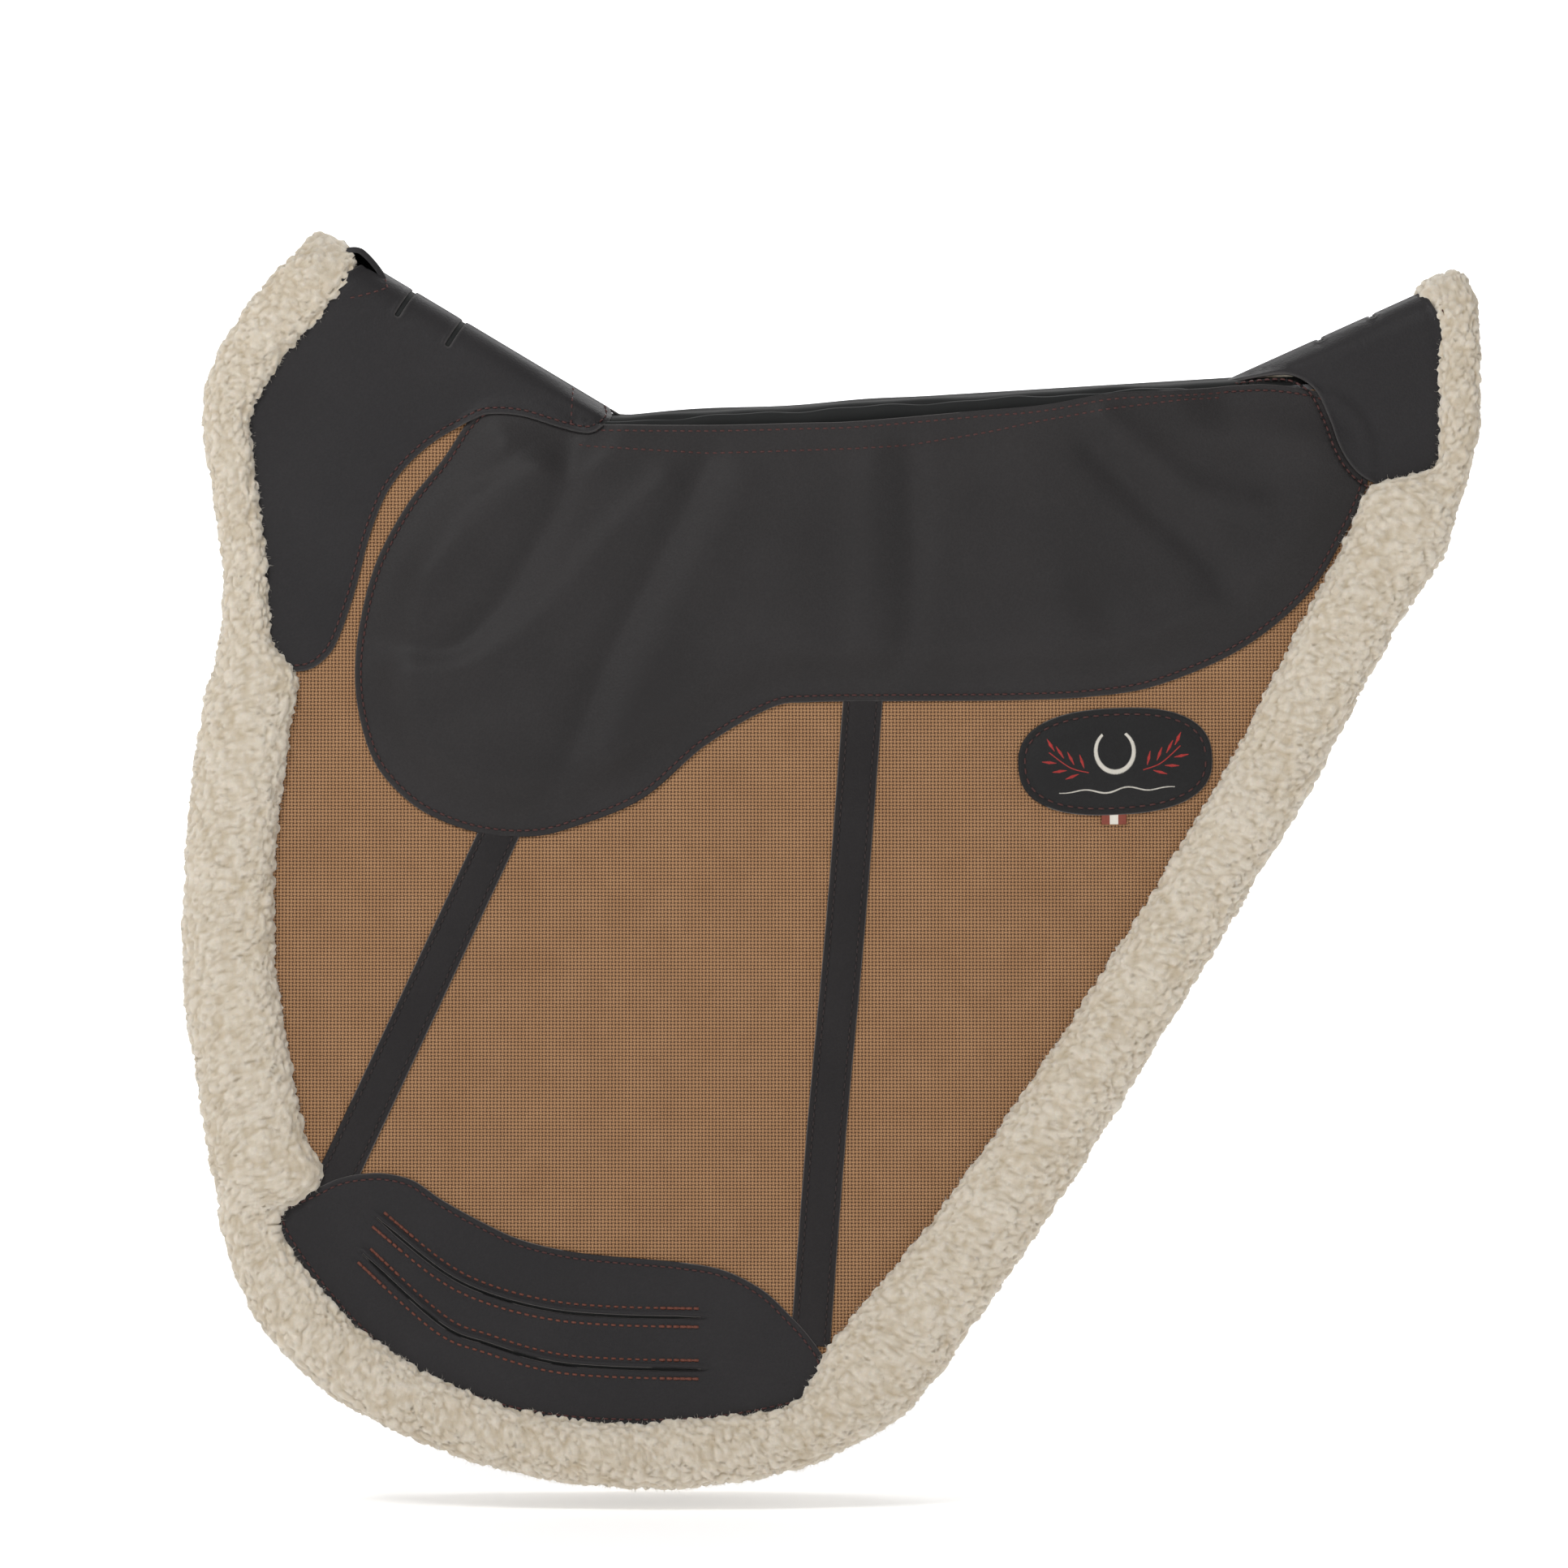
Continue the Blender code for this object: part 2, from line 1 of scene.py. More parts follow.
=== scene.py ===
# %% [markdown]
# # A saddle pad with a sheepskin lining
#
# This pad goes between a horse and an endurance saddle. Two sides hang from a spine. Each side is
# a sandwich: sheepskin against the horse, thin foam, and a tan woven cloth outside. The sheepskin
# is turned over the edge as a thick woolly roll. Synthetic leather covers the spine, the pocket,
# two stiffening bands and a patch with slits for a strap.
#
# Everything here is built on the left side and mirrored to the right, because the real pad is cut
# that way too.

# %% The frame
import json
import math

import bpy
import numpy as np
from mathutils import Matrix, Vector, noise
from mathutils.geometry import delaunay_2d_cdt
from mathutils.kdtree import KDTree


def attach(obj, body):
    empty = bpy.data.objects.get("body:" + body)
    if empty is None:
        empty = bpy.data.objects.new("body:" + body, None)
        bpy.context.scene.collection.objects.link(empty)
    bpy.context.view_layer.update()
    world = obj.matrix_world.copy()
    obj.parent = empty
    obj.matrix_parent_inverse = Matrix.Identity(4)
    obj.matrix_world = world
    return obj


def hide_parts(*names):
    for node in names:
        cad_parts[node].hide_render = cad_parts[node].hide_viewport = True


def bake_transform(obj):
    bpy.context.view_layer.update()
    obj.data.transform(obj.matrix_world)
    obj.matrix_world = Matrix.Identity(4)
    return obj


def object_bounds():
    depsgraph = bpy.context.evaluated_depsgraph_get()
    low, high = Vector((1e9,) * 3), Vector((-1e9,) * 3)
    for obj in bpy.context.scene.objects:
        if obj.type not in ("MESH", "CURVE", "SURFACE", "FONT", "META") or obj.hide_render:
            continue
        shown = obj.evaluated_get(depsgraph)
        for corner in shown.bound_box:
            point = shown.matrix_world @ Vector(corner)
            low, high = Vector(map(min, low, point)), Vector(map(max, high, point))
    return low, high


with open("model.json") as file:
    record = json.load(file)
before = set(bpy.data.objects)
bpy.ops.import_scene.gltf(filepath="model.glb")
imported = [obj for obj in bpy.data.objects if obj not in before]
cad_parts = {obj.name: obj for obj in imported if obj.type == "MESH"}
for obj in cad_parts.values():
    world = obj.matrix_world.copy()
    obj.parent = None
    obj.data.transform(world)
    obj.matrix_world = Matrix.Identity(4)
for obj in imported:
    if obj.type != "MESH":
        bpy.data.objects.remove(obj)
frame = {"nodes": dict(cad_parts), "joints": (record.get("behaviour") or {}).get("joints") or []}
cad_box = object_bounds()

MM = 0.001

# %% [markdown]
# ## Where things are
#
# Lengths are in millimetres. A place on a side has three numbers: x from front to rear, z up, and
# a depth that counts outwards from the lining's inner face. Both sides stand out a little from
# straight down, and they turn about the two fold lines, so depths are turned in the same way.

# %% Places on a side
fold = {joint["name"]: joint for joint in frame["joints"]}["right_side_fold"]
FOLD_AXIS = np.array(fold["axis"])
FOLD_SLOPE = FOLD_AXIS[2] / FOLD_AXIS[0]
FOLD_Y = fold["pos_m"][1] / MM
FLARE = math.radians(3)
LINING_Y = 3.0               # the lining's inner face at the fold, from the middle
CLOTH_DEPTH = 15.0           # the outside of the tan cloth


def stand(x, depth, z):
    """Places on the left side as it hangs, from x, depth and z."""
    flat = np.column_stack([x, FOLD_Y - LINING_Y - depth + 0 * x, z])
    cosine, sine = math.cos(FLARE), -math.sin(FLARE)
    turned = (flat * cosine + np.cross(FOLD_AXIS, flat) * sine
              + np.outer(flat @ FOLD_AXIS, FOLD_AXIS) * (1 - cosine))
    turned[:, 1] -= FOLD_Y
    return turned


def fold_height(x):
    return FOLD_SLOPE * x


def ease(t):
    """A smooth rise from 0 to 1 as t goes from 0 to 1."""
    t = np.clip(t, 0.0, 1.0)
    return t * t * (3 - 2 * t)


print(f"fold lines at y = {FOLD_Y:.1f} mm either side, rising {FOLD_SLOPE:.4f}")

# %% [markdown]
# ## Lines
#
# Patterns are drawn as a few points. A Catmull-Rom curve passes through all of them, and it is
# resampled at an even spacing. A point given twice makes a corner.

# %% Smooth and even lines
def evenly(line, spacing, columns=2):
    """The line's places again, evenly spaced along it."""
    steps = np.linalg.norm(np.diff(line[:, :columns], axis=0), axis=1)
    run = np.concatenate([[0.0], np.cumsum(steps)])
    at = np.linspace(0, run[-1], max(2, round(run[-1] / spacing)) + 1)
    return np.column_stack([np.interp(at, run, column) for column in line.T])


def flowing(points, spacing, closed=False, columns=2):
    """Evenly spaced places on a smooth line through the points."""
    points = np.array(points, float)
    count = len(points)
    t = np.linspace(0, 1, 12, endpoint=False)[:, None]
    rows = []
    for i in range(count if closed else count - 1):
        near = [k % count if closed else min(max(k, 0), count - 1) for k in range(i - 1, i + 3)]
        a, b, c, d = points[near]
        rows.append(0.5 * (2 * b + (c - a) * t + (2 * a - 5 * b + 4 * c - d) * t ** 2
                           + (3 * b - a - 3 * c + d) * t ** 3))
    rows.append(points[:1] if closed else points[-1:])
    line = evenly(np.vstack(rows), spacing, columns)
    return line[:-1] if closed else line


def normals_of(line, closed=False):
    """Unit vectors to the left of a flat line at each of its places."""
    if closed:
        along = np.roll(line, -1, axis=0) - np.roll(line, 1, axis=0)
    else:
        along = np.gradient(line, axis=0)
    along /= np.maximum(np.linalg.norm(along, axis=1), 1e-9)[:, None]
    return np.column_stack([-along[:, 1], along[:, 0]])


def turns_left(outline):
    """1 if the closed outline runs anticlockwise, and -1 if it runs clockwise."""
    x, z = outline.T
    return 1 if np.sum(x * np.roll(z, -1) - np.roll(x, -1) * z) > 0 else -1


def ribbon_outline(line, width):
    """The closed outline of a ribbon along an open line."""
    shift = normals_of(line) * width / 2
    return np.vstack([line + shift, (line - shift)[::-1]])


# %% [markdown]
# ## Sheets
#
# Leather and cloth are cut flat, so they are made flat: points on the outline, a few rings just
# inside it for a rounded edge, and an even field of points. Delaunay triangulation joins them.
# The flat sheet is then laid on the pad, with an upper face, an under face and an edge between.

# %% Cutting a sheet
def nearest(places, lines):
    """How far each place is from the nearest of the lines."""
    marks = np.vstack([evenly(np.vstack([line, line[:1]]), 0.5) for line in lines])
    tree = KDTree(len(marks))
    for i, (x, z) in enumerate(marks):
        tree.insert((x, z, 0), i)
    tree.balance()
    return np.array([tree.find((x, z, 0))[2] for x, z in places])


def nearest_open(places, line):
    """How far each place is from an open line."""
    marks = evenly(line, 0.5)
    tree = KDTree(len(marks))
    for i, (x, z) in enumerate(marks):
        tree.insert((x, z, 0), i)
    tree.balance()
    return np.array([tree.find((x, z, 0))[2] for x, z in places])


def inside(places, outline):
    """Which places are inside a closed outline."""
    x, z = places.T
    found = np.zeros(len(places), bool)
    for (ax, az), (bx, bz) in zip(outline, np.roll(outline, -1, axis=0)):
        if az != bz:
            crosses = (az > z) != (bz > z)
            found ^= crosses & (x < ax + (z - az) * (bx - ax) / (bz - az))
    return found


def cut_sheet(outline, spacing, holes=(), rings=(0.5, 1.2, 2.1, 3.0, 4.0)):
    """A flat sheet as places, triangles, and each place's distance from the cut edge."""
    lines = [outline, *holes]
    places, joins = [], []
    for line in lines:
        start = sum(len(p) for p in places)
        count = len(line)
        joins += [(start + i, start + (i + 1) % count) for i in range(count)]
        places.append(line)
    for number, line in enumerate(lines):
        inward = normals_of(line, closed=True) * turns_left(line) * (1 if number == 0 else -1)
        for ring in rings:
            places.append(line + inward * ring)
    low, high = outline.min(0), outline.max(0)
    rows = np.arange(low[1], high[1], spacing * 0.866)
    for i, z in enumerate(rows):
        x = np.arange(low[0] + spacing * (i % 2) / 2, high[0], spacing)
        places.append(np.column_stack([x, np.full(len(x), z)]))
    edge_count = len(joins)
    field = np.vstack(places)[edge_count:]
    reach = nearest(field, lines)
    wanted = np.concatenate([np.full(len(line), ring * 0.93) for line in lines for ring in rings])
    wanted = np.concatenate([wanted, np.full(len(field) - len(wanted),
                                             rings[-1] + spacing * 0.45)])
    field = field[reach > wanted]
    flat = np.vstack([*lines, field])
    made = delaunay_2d_cdt([Vector(p) for p in flat], joins, [], 1, 1e-6)
    flat = np.array([tuple(p) for p in made[0]])
    triangles = np.array([face for face in made[2] if len(face) == 3])
    middles = flat[triangles].mean(axis=1)
    keep = inside(middles, outline)
    for hole in holes:
        keep &= ~inside(middles, hole)
    triangles = triangles[keep]
    used, triangles = np.unique(triangles, return_inverse=True)
    flat = flat[used]
    return flat, triangles.reshape(-1, 3), nearest(flat, lines)


def thick_sheet(triangles, top, bottom):
    """A closed solid from one sheet of triangles with two sets of places."""
    count = len(top)
    first = triangles[:, [0, 1, 2]]
    a, b, c = (top[first[:, k]] for k in range(3))
    sides = np.vstack([triangles[:, [0, 1]], triangles[:, [1, 2]], triangles[:, [2, 0]]])
    ordered = np.sort(sides, axis=1)
    keys, where, seen = np.unique(ordered, axis=0, return_index=True, return_counts=True)
    rim = sides[where[seen == 1]]
    faces = [tuple(t) for t in triangles] + [tuple(t[::-1] + count) for t in triangles]
    faces += [(j, i, i + count, j + count) for i, j in rim]
    return np.vstack([top, bottom]), faces


# %% Making pieces for both sides
def new_piece(name, places, faces, marks=None):
    """A smooth mesh object from places in millimetres."""
    mesh = bpy.data.meshes.new(name)
    mesh.from_pydata((places * MM).tolist(), [], faces)
    for mark, values in (marks or {}).items():
        mesh.attributes.new(mark, "FLOAT", "POINT").data.foreach_set(
            "value", np.asarray(values, np.float32))
    mesh.shade_smooth()
    piece = bpy.data.objects.new(name, mesh)
    bpy.context.scene.collection.objects.link(piece)
    return piece


def both_sides(name, places, faces, finish, slot, hold="side", stands_for=(), marks=None):
    """The piece on the left and its mirror on the right, held by the side, insert or fold."""
    pair = []
    for word, mirror in (("left", 1), ("right", -1)):
        turned = faces if mirror == 1 else [face[::-1] for face in faces]
        piece = new_piece(f"{word}_{name}_skin", places * (1, mirror, 1), turned, marks)
        piece.data.materials.append(finish)
        if stands_for:
            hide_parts(*[node if "spine" in node or "peak" in node else f"{word}_{node}"
                                 for node in stands_for])
        if hold == "fold":
            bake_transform(piece)
        else:
            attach(piece, "spine" if hold == "spine" else f"{word}_{hold}")
        pair.append(piece)
    print(f"{name}: {len(places)} places, {len(faces)} faces a side")
    return pair


def declare_sheet(outline):
    """The flat size an outline was cut to, as its smallest turned box; the size is not kept."""
    turns = np.radians(np.arange(0, 90, 2))
    x, z = np.asarray(outline, float).T * MM
    boxes = [(float(np.ptp(x * math.cos(a) + z * math.sin(a))),
              float(np.ptp(z * math.cos(a) - x * math.sin(a)))) for a in turns]
    flat = min(boxes, key=lambda box: box[0] * box[1])


# %% [markdown]
# ## Finishes
#
# A finish is a Principled shader fed by a few nodes. Writing the maths as ordinary expressions
# keeps it readable: a value from a node can be added to, multiplied by or taken from a number.

# %% Writing shader maths
class Wire:
    """A value, colour or vector on its way through a finish."""

    def __init__(self, finish, socket):
        self.finish = finish
        self.socket = socket

    def maths(self, operation, first, second=0.0):
        return self.finish.node("Math", {"operation": operation}, {0: first, 1: second})

    def __add__(self, other):
        return self.maths("ADD", self, other)

    def __sub__(self, other):
        return self.maths("SUBTRACT", self, other)

    def __rsub__(self, other):
        return self.maths("SUBTRACT", other, self)

    def __mul__(self, other):
        return self.maths("MULTIPLY", self, other)

    def __truediv__(self, other):
        return self.maths("DIVIDE", self, other)

    def __pow__(self, other):
        return self.maths("POWER", self, other)

    def __gt__(self, other):
        return self.maths("GREATER_THAN", self, other)

    __radd__ = __add__
    __rmul__ = __mul__

    def cosine(self):
        return self.maths("COSINE", self)

    def rounded(self):
        return self.maths("ROUND", self)

    def size(self):
        return self.maths("ABSOLUTE", self)

    def at_least(self, other):
        return self.maths("MAXIMUM", self, other)

    def between(self, low, high):
        """0 below low, 1 above high, and smooth in between."""
        return self.finish.node("MapRange", {"interpolation_type": "SMOOTHSTEP", "clamp": True},
                                {"Value": self, "From Min": low, "From Max": high})


class Finish:
    """A new material, and the one way to add a node to it."""

    def __init__(self, name, roughness):
        self.material = bpy.data.materials.new(name)
        self.material.use_nodes = True
        self.tree = self.material.node_tree
        self.shader = self.tree.nodes["Principled BSDF"]
        self.set("Roughness", roughness)
        self.place = self.node("TexCoord", {}, {}, "Object")

    def node(self, kind, settings, inputs, output=0):
        made = self.tree.nodes.new("ShaderNode" + kind)
        for setting, value in settings.items():
            if setting == "stops":
                for stop, (at, color) in zip(made.color_ramp.elements, value):
                    stop.position, stop.color = at, (*color, 1)
            else:
                setattr(made, setting, value)
        for socket, value in inputs.items():
            if isinstance(value, Wire):
                self.tree.links.new(value.socket, made.inputs[socket])
            else:
                made.inputs[socket].default_value = value
        return Wire(self, made.outputs[output])

    def set(self, socket, value):
        if isinstance(value, Wire):
            self.tree.links.new(value.socket, self.shader.inputs[socket])
        else:
            self.shader.inputs[socket].default_value = value

    def noise(self, scale, detail=2.0, roughness=0.5, place=None):
        """Noise with this many bumps in a metre."""
        return self.node("TexNoise", {"normalize": True}, {
            "Vector": place or self.place, "Scale": scale, "Detail": detail,
            "Roughness": roughness})

    def mark(self, name):
        """A number that the mesh stores at each of its places."""
        return self.node("Attribute", {"attribute_name": name}, {}, "Fac")

    def mix(self, share, first, second):
        """The first colour where share is 0 and the second where it is 1."""
        first, second = ((*c, 1) if isinstance(c, tuple) else c for c in (first, second))
        return self.node("Mix", {"data_type": "RGBA"}, {0: share, 6: first, 7: second}, 2)

    def bump(self, height, depth, strength=1.0):
        """A normal from a height whose 1 stands for this many metres."""
        return self.node("Bump", {}, {"Height": height, "Distance": depth,
                                      "Strength": strength})


# %% [markdown]
# ### Synthetic leather
#
# The covers are dark brown, almost black, with a fine pebble grain. Small cells give the grain,
# slow noise makes the colour and the polish uneven, and a thin sheen lifts the dark at a glance.

# %% Leather finishes
def leather(name, color, worn, roughness, grain=900.0, depth=0.00012):
    finish = Finish(name, roughness)
    cells = finish.node("TexVoronoi", {"feature": "SMOOTH_F1"}, {
        "Vector": finish.place, "Scale": grain, "Smoothness": 0.6})
    slow = finish.noise(14.0, 3.0)
    fine = finish.noise(2400.0, 2.0)
    body = finish.mix((slow - 0.35) * 1.4 + (cells - 0.4) * 0.5, color, worn)
    finish.set("Base Color", finish.mix(finish.mark("rim"), body, (0.15, 0.14, 0.135)))
    finish.set("Roughness", roughness + (slow - 0.5) * 0.25 + (fine - 0.5) * 0.12)
    finish.set("Normal", finish.bump(cells + fine * 0.35, depth))
    finish.set("Sheen Weight", 0.04)
    finish.set("Sheen Roughness", 0.5)
    finish.set("Specular IOR Level", 0.24)
    return finish.material


cover_leather = leather("cover_leather", (0.0175, 0.016, 0.017), (0.027, 0.025, 0.0262), 0.58)
pocket_leather = leather("pocket_leather", (0.020, 0.018, 0.0182), (0.033, 0.030, 0.0305), 0.62)
band_leather = leather("band_leather", (0.014, 0.012, 0.0125), (0.023, 0.020, 0.0205), 0.50)
badge_leather = leather("badge_leather", (0.010, 0.0095, 0.0098), (0.017, 0.0165, 0.0168), 0.55)

# %% [markdown]
# ### Tan cloth
#
# The outer cloth is a coated plain weave of thick flat threads, 1.75 mm apart. A thread is on top
# at every other crossing, so its height is a cosine along it that changes sign from one thread to
# the next. The higher of the two threads shows, and the low places and gaps between the threads
# are painted nearly black, as painted shade.

# %% Woven cloth
def woven(name, thread, shade, gap, pitch):
    finish = Finish(name, 0.62)
    split = finish.node("SeparateXYZ", {}, {"Vector": finish.place}, 0)
    node = split.socket.node
    across, up = Wire(finish, node.outputs[0]) / pitch, Wire(finish, node.outputs[2]) / pitch
    warp = thread_height(across, up, 1)
    weft = thread_height(up, across, -1)
    height = warp.at_least(weft)
    uneven = finish.noise(55.0, 4.0, 0.6)
    body = finish.mix((uneven - 0.3) * 1.6, shade, thread)
    # Low places in the weave take the gap colour, nearly black: painted shade between the threads.
    finish.set("Base Color", finish.mix(height.between(0.15, 0.8), gap, body))
    finish.set("Roughness", 0.8 - height * 0.25)
    finish.set("Normal", finish.bump(height, pitch * 0.42))
    finish.set("Specular IOR Level", 0.35)
    return finish.material


def thread_height(over, along, sign):
    """Height of the threads that run along one direction, from 0 to 1."""
    number = over.rounded()
    profile = ((over - number) * (2 * math.pi * 0.5)).cosine()
    wave = ((along + number) * math.pi).cosine() * (0.5 * sign) + 0.5
    return profile * (wave * 0.75 + 0.25)


tan_cloth = woven("tan_woven_cloth", (0.47, 0.26, 0.125), (0.38, 0.20, 0.09),
                  (0.055, 0.020, 0.008), 1.75 * MM)

# %% [markdown]
# ### Sheepskin, thread, lining and foam
#
# Wool is bright, rough and lets a little light through. The mesh stores how deep in a crease each
# place is. Creases and the borders of the small lumps are darker and more yellow: the darkening is
# painted shade, the yellow is the wool's own tint. Thread is plain twisted polyester.

# %% Soft finishes
def wool(name, tip, crease):
    finish = Finish(name, 1.0)
    deep = finish.mark("crease")
    slow = finish.noise(38.0, 3.0)
    fine = finish.noise(800.0, 4.0, 0.7)
    lumps = finish.node("TexVoronoi", {"feature": "SMOOTH_F1"}, {
        "Vector": finish.place, "Scale": 280.0, "Smoothness": 0.7})
    # Creases and lump borders take the crease colour: painted shade, with the wool's yellower
    # tint.
    color = finish.mix(deep * 0.5 + (slow - 0.5) * 0.6 + (lumps - 0.35) * 0.7, tip, crease)
    finish.set("Base Color", color)
    finish.set("Normal", finish.bump(fine * 0.5 - lumps, 0.0013, 0.85))
    finish.set("Sheen Weight", 0.35)
    finish.set("Sheen Roughness", 0.6)
    finish.set("Specular IOR Level", 0.15)
    finish.set("Subsurface Weight", 0.25)
    finish.set("Subsurface Radius", (0.004, 0.003, 0.002))
    finish.set("Subsurface Scale", 0.5)
    return finish.material


def plain(name, color, roughness, scale=900.0, depth=0.0001, spread=0.35):
    finish = Finish(name, roughness)
    fine = finish.noise(scale, 3.0)
    darker = tuple(c * (1 - spread) for c in color)
    finish.set("Base Color", finish.mix(fine, darker, color))
    finish.set("Normal", finish.bump(fine, depth))
    return finish.material


sheepskin = wool("sheepskin", (0.69, 0.62, 0.515), (0.47, 0.375, 0.245))
red_thread = plain("dark_red_thread", (0.075, 0.020, 0.017), 0.55, 3000.0)
dark_thread = plain("black_brown_thread", (0.022, 0.012, 0.011), 0.55, 3000.0)
rust_thread = plain("rust_thread", (0.17, 0.046, 0.024), 0.55, 3000.0)
bright_red_thread = plain("bright_red_thread", (0.55, 0.028, 0.022), 0.5, 3000.0)
cream_thread = plain("cream_thread", (0.78, 0.74, 0.66), 0.6, 3000.0)
# Black lining cloth; the same finish makes the sheets under the slots and slits, which are painted
# shade.
black_lining = plain("black_lining", (0.0052, 0.0062, 0.006), 0.8, 1800.0, 0.00006)
foam = plain("grey_foam", (0.17, 0.17, 0.175), 0.9, 700.0, 0.0003)
for word in ("left", "right"):
    node = frame["nodes"][word + "_foam_core"]
    node.data.materials.clear()
    node.data.materials.append(foam)

# %% [markdown]
# ## The woolly roll
#
# The sheepskin's edge is turned out and stitched down all round the pad, so it is one roll that
# goes over the withers, down the front, round the bottom and up over the loin. Each row here is a
# place on its middle line with half its width and half its thickness. Over the two ridges the
# roll also leans, from standing out sideways to standing straight up in the middle.

# %% The path of the roll
FRONT_RIDGE = ((-239.0, 73.0), (-115.0, -1.0))
REAR_RIDGE = ((199.0, 13.0), (296.0, 57.0))
ROLL_DEPTH = 13.0
# x, distance from the middle, z, half width, half thickness, lean in degrees
FRONT_PEAK = [
    (-254.5, 0.0, 78.2, 14.5, 8.0, 90), (-257.0, 8.0, 75.6, 15.0, 8.0, 45),
    (-262.0, 12.5, 66.5, 16.5, 9.0, 0), (-278.0, 14.5, 50.0, 16.5, 9.0, 0),
    (-293.0, 15.0, 31.0, 15.5, 9.0, 0), (-305.0, 15.5, 9.0, 14.0, 9.0, 0),
    (-308.0, 16.0, -6.0, 12.5, 9.0, 0),
]
REAR_PEAK = [
    (315.0, 13.5, 34.0, 11.0, 9.0, 0), (314.0, 10.5, 51.0, 11.5, 8.5, 0),
    (310.0, 7.1, 57.6, 12.5, 8.0, 45), (308.7, 0.0, 60.2, 13.0, 8.0, 90),
]
# x, z, half width, half thickness
SIDE_ROLL = [
    (-306.8, -22, 11.8, 9.5), (-304.5, -40, 11.5, 9.5), (-299.3, -75, 11.3, 9.5),
    (-297.8, -104, 12, 9.5), (-298.5, -121, 14.5, 10), (-293.5, -138, 22.5, 11.5),
    (-297.3, -158, 22.8, 12), (-303, -198, 23.3, 12.5), (-306, -245, 22.5, 12.5),
    (-305, -292, 24, 12.5), (-297, -342, 23.8, 12.5), (-291.3, -374, 25.2, 12.5),
    (-286, -389, 27.5, 12.5), (-294, -405, 17, 11.5), (-292.5, -420, 15, 11),
    (-283, -441, 17, 11.5), (-262, -468, 18.5, 12), (-228, -494, 17, 12),
    (-175, -517, 16, 11.5), (-114, -528, 16.5, 11.5), (-56, -526, 16.5, 11.5),
    (-18, -518.5, 16, 11.5), (0, -506, 20, 12), (14, -492, 25.5, 12.5), (32, -471, 26, 12.5),
    (49, -450, 24.5, 12.5), (80, -407, 23, 12.5), (108, -367, 22.5, 12.5),
    (137, -321, 21.5, 12.5), (165, -277, 21, 12.5), (192, -232, 21, 12.5),
    (220, -186, 21, 12.5), (246, -135, 21.5, 12.5), (267, -96, 22, 12.5), (281, -72, 23.5, 12.5),
    (290, -56, 25, 12), (308, -38, 11, 9.5), (314, -20, 9.5, 9), (315.5, 0, 10.5, 9),
]


def ridge_axes(ridge):
    """The ridge's start, and unit vectors along it and square to it, in x and z."""
    start, end = np.array(ridge[0]), np.array(ridge[1])
    along = (end - start) / np.linalg.norm(end - start)
    return start, along, np.array([-along[1], along[0]])


def peak_rows(rows, ridge):
    """Key places over a ridge, with the way the roll's outer face looks."""
    up = ridge_axes(ridge)[2]
    found = []
    for x, away, z, half, thick, lean in rows:
        lean = math.radians(lean)
        face = (math.sin(lean) * up[0], -math.cos(lean), math.sin(lean) * up[1])
        found.append((x, -away, z, half, thick, *face))
    return found


def side_rows(rows):
    x, z, half, thick = np.array(rows, float).T
    place = stand(x, ROLL_DEPTH, z)
    return np.column_stack([place, half, thick, stand(x, ROLL_DEPTH + 1, z) - place])


def mirrored(row):
    return (row[0], -row[1], *row[2:5], row[5], -row[6], row[7])


front, rear = peak_rows(FRONT_PEAK, FRONT_RIDGE), peak_rows(REAR_PEAK, REAR_RIDGE)
keys = np.vstack([mirrored(front[1]), front, side_rows(SIDE_ROLL), rear, mirrored(rear[-2])])
ROLL_STEP = 1.55
path = flowing(keys, ROLL_STEP, columns=3)
path = path[path[:, 1] <= 0]
path[[0, -1], 1] = 0
print(f"roll: {len(path) * ROLL_STEP:.0f} mm long on each side")

# %% [markdown]
# ### Curls
#
# Close up, the pile is made of soft round lumps about 5 mm across, with a crease where two lumps
# meet. A cell pattern gives that: the difference between the distances to the nearest and the
# next cell is nothing on the crease and grows towards the middle of a lump. A slow noise bends
# the cells and another lifts whole clumps.

# %% Wool on any surface
def curls(places):
    """How far the wool stands out at each place, and how deep in a crease it is."""
    height, deep = np.empty(len(places)), np.empty(len(places))
    for i, place in enumerate(places):
        at = Vector(place)
        at += noise.noise_vector(at * 0.17) * 2.6
        clump = noise.noise(at * 0.055)
        near = noise.voronoi(at * 0.185)[0]
        gap = near[1] - near[0]
        height[i] = 1.2 * clump + 2.3 * min(gap / 0.42, 1) ** 0.6
        # How deep in a crease: the wool finish paints shade by it.
        deep[i] = max(1 - gap / 0.24, 0)
    return height - 1.4, deep


def grid_faces(rows, around):
    """Quads of a tube with this many rings."""
    i, j = np.meshgrid(np.arange(rows - 1), np.arange(around), indexing="ij")
    near = (j + 1) % around
    return np.stack([i * around + j, i * around + near, (i + 1) * around + near,
                     (i + 1) * around + j], axis=-1).reshape(-1, 4).tolist()


AROUND = 76
angle = np.linspace(0, 2 * np.pi, AROUND, endpoint=False)
SQUARENESS = 2.7
wide = np.sign(np.cos(angle)) * np.abs(np.cos(angle)) ** (2 / SQUARENESS)
deep_way = np.sign(np.sin(angle)) * np.abs(np.sin(angle)) ** (2 / SQUARENESS)
middle, half, thick, face = path[:, :3], path[:, 3], path[:, 4], path[:, 5:8]
kernel = np.hanning(41)[1:-1] / np.hanning(41)[1:-1].sum()
calm = np.column_stack([np.convolve(np.pad(c, 19, "edge"), kernel, "valid") for c in middle.T])
from_end = np.minimum(np.arange(len(path)), np.arange(len(path))[::-1])
on_side = ease((from_end - 45) / 25)[:, None]
heading = np.gradient(middle, axis=0) * (1 - on_side) + np.gradient(calm, axis=0) * on_side
heading[[0, -1]] = (0, -1, 0), (0, 1, 0)
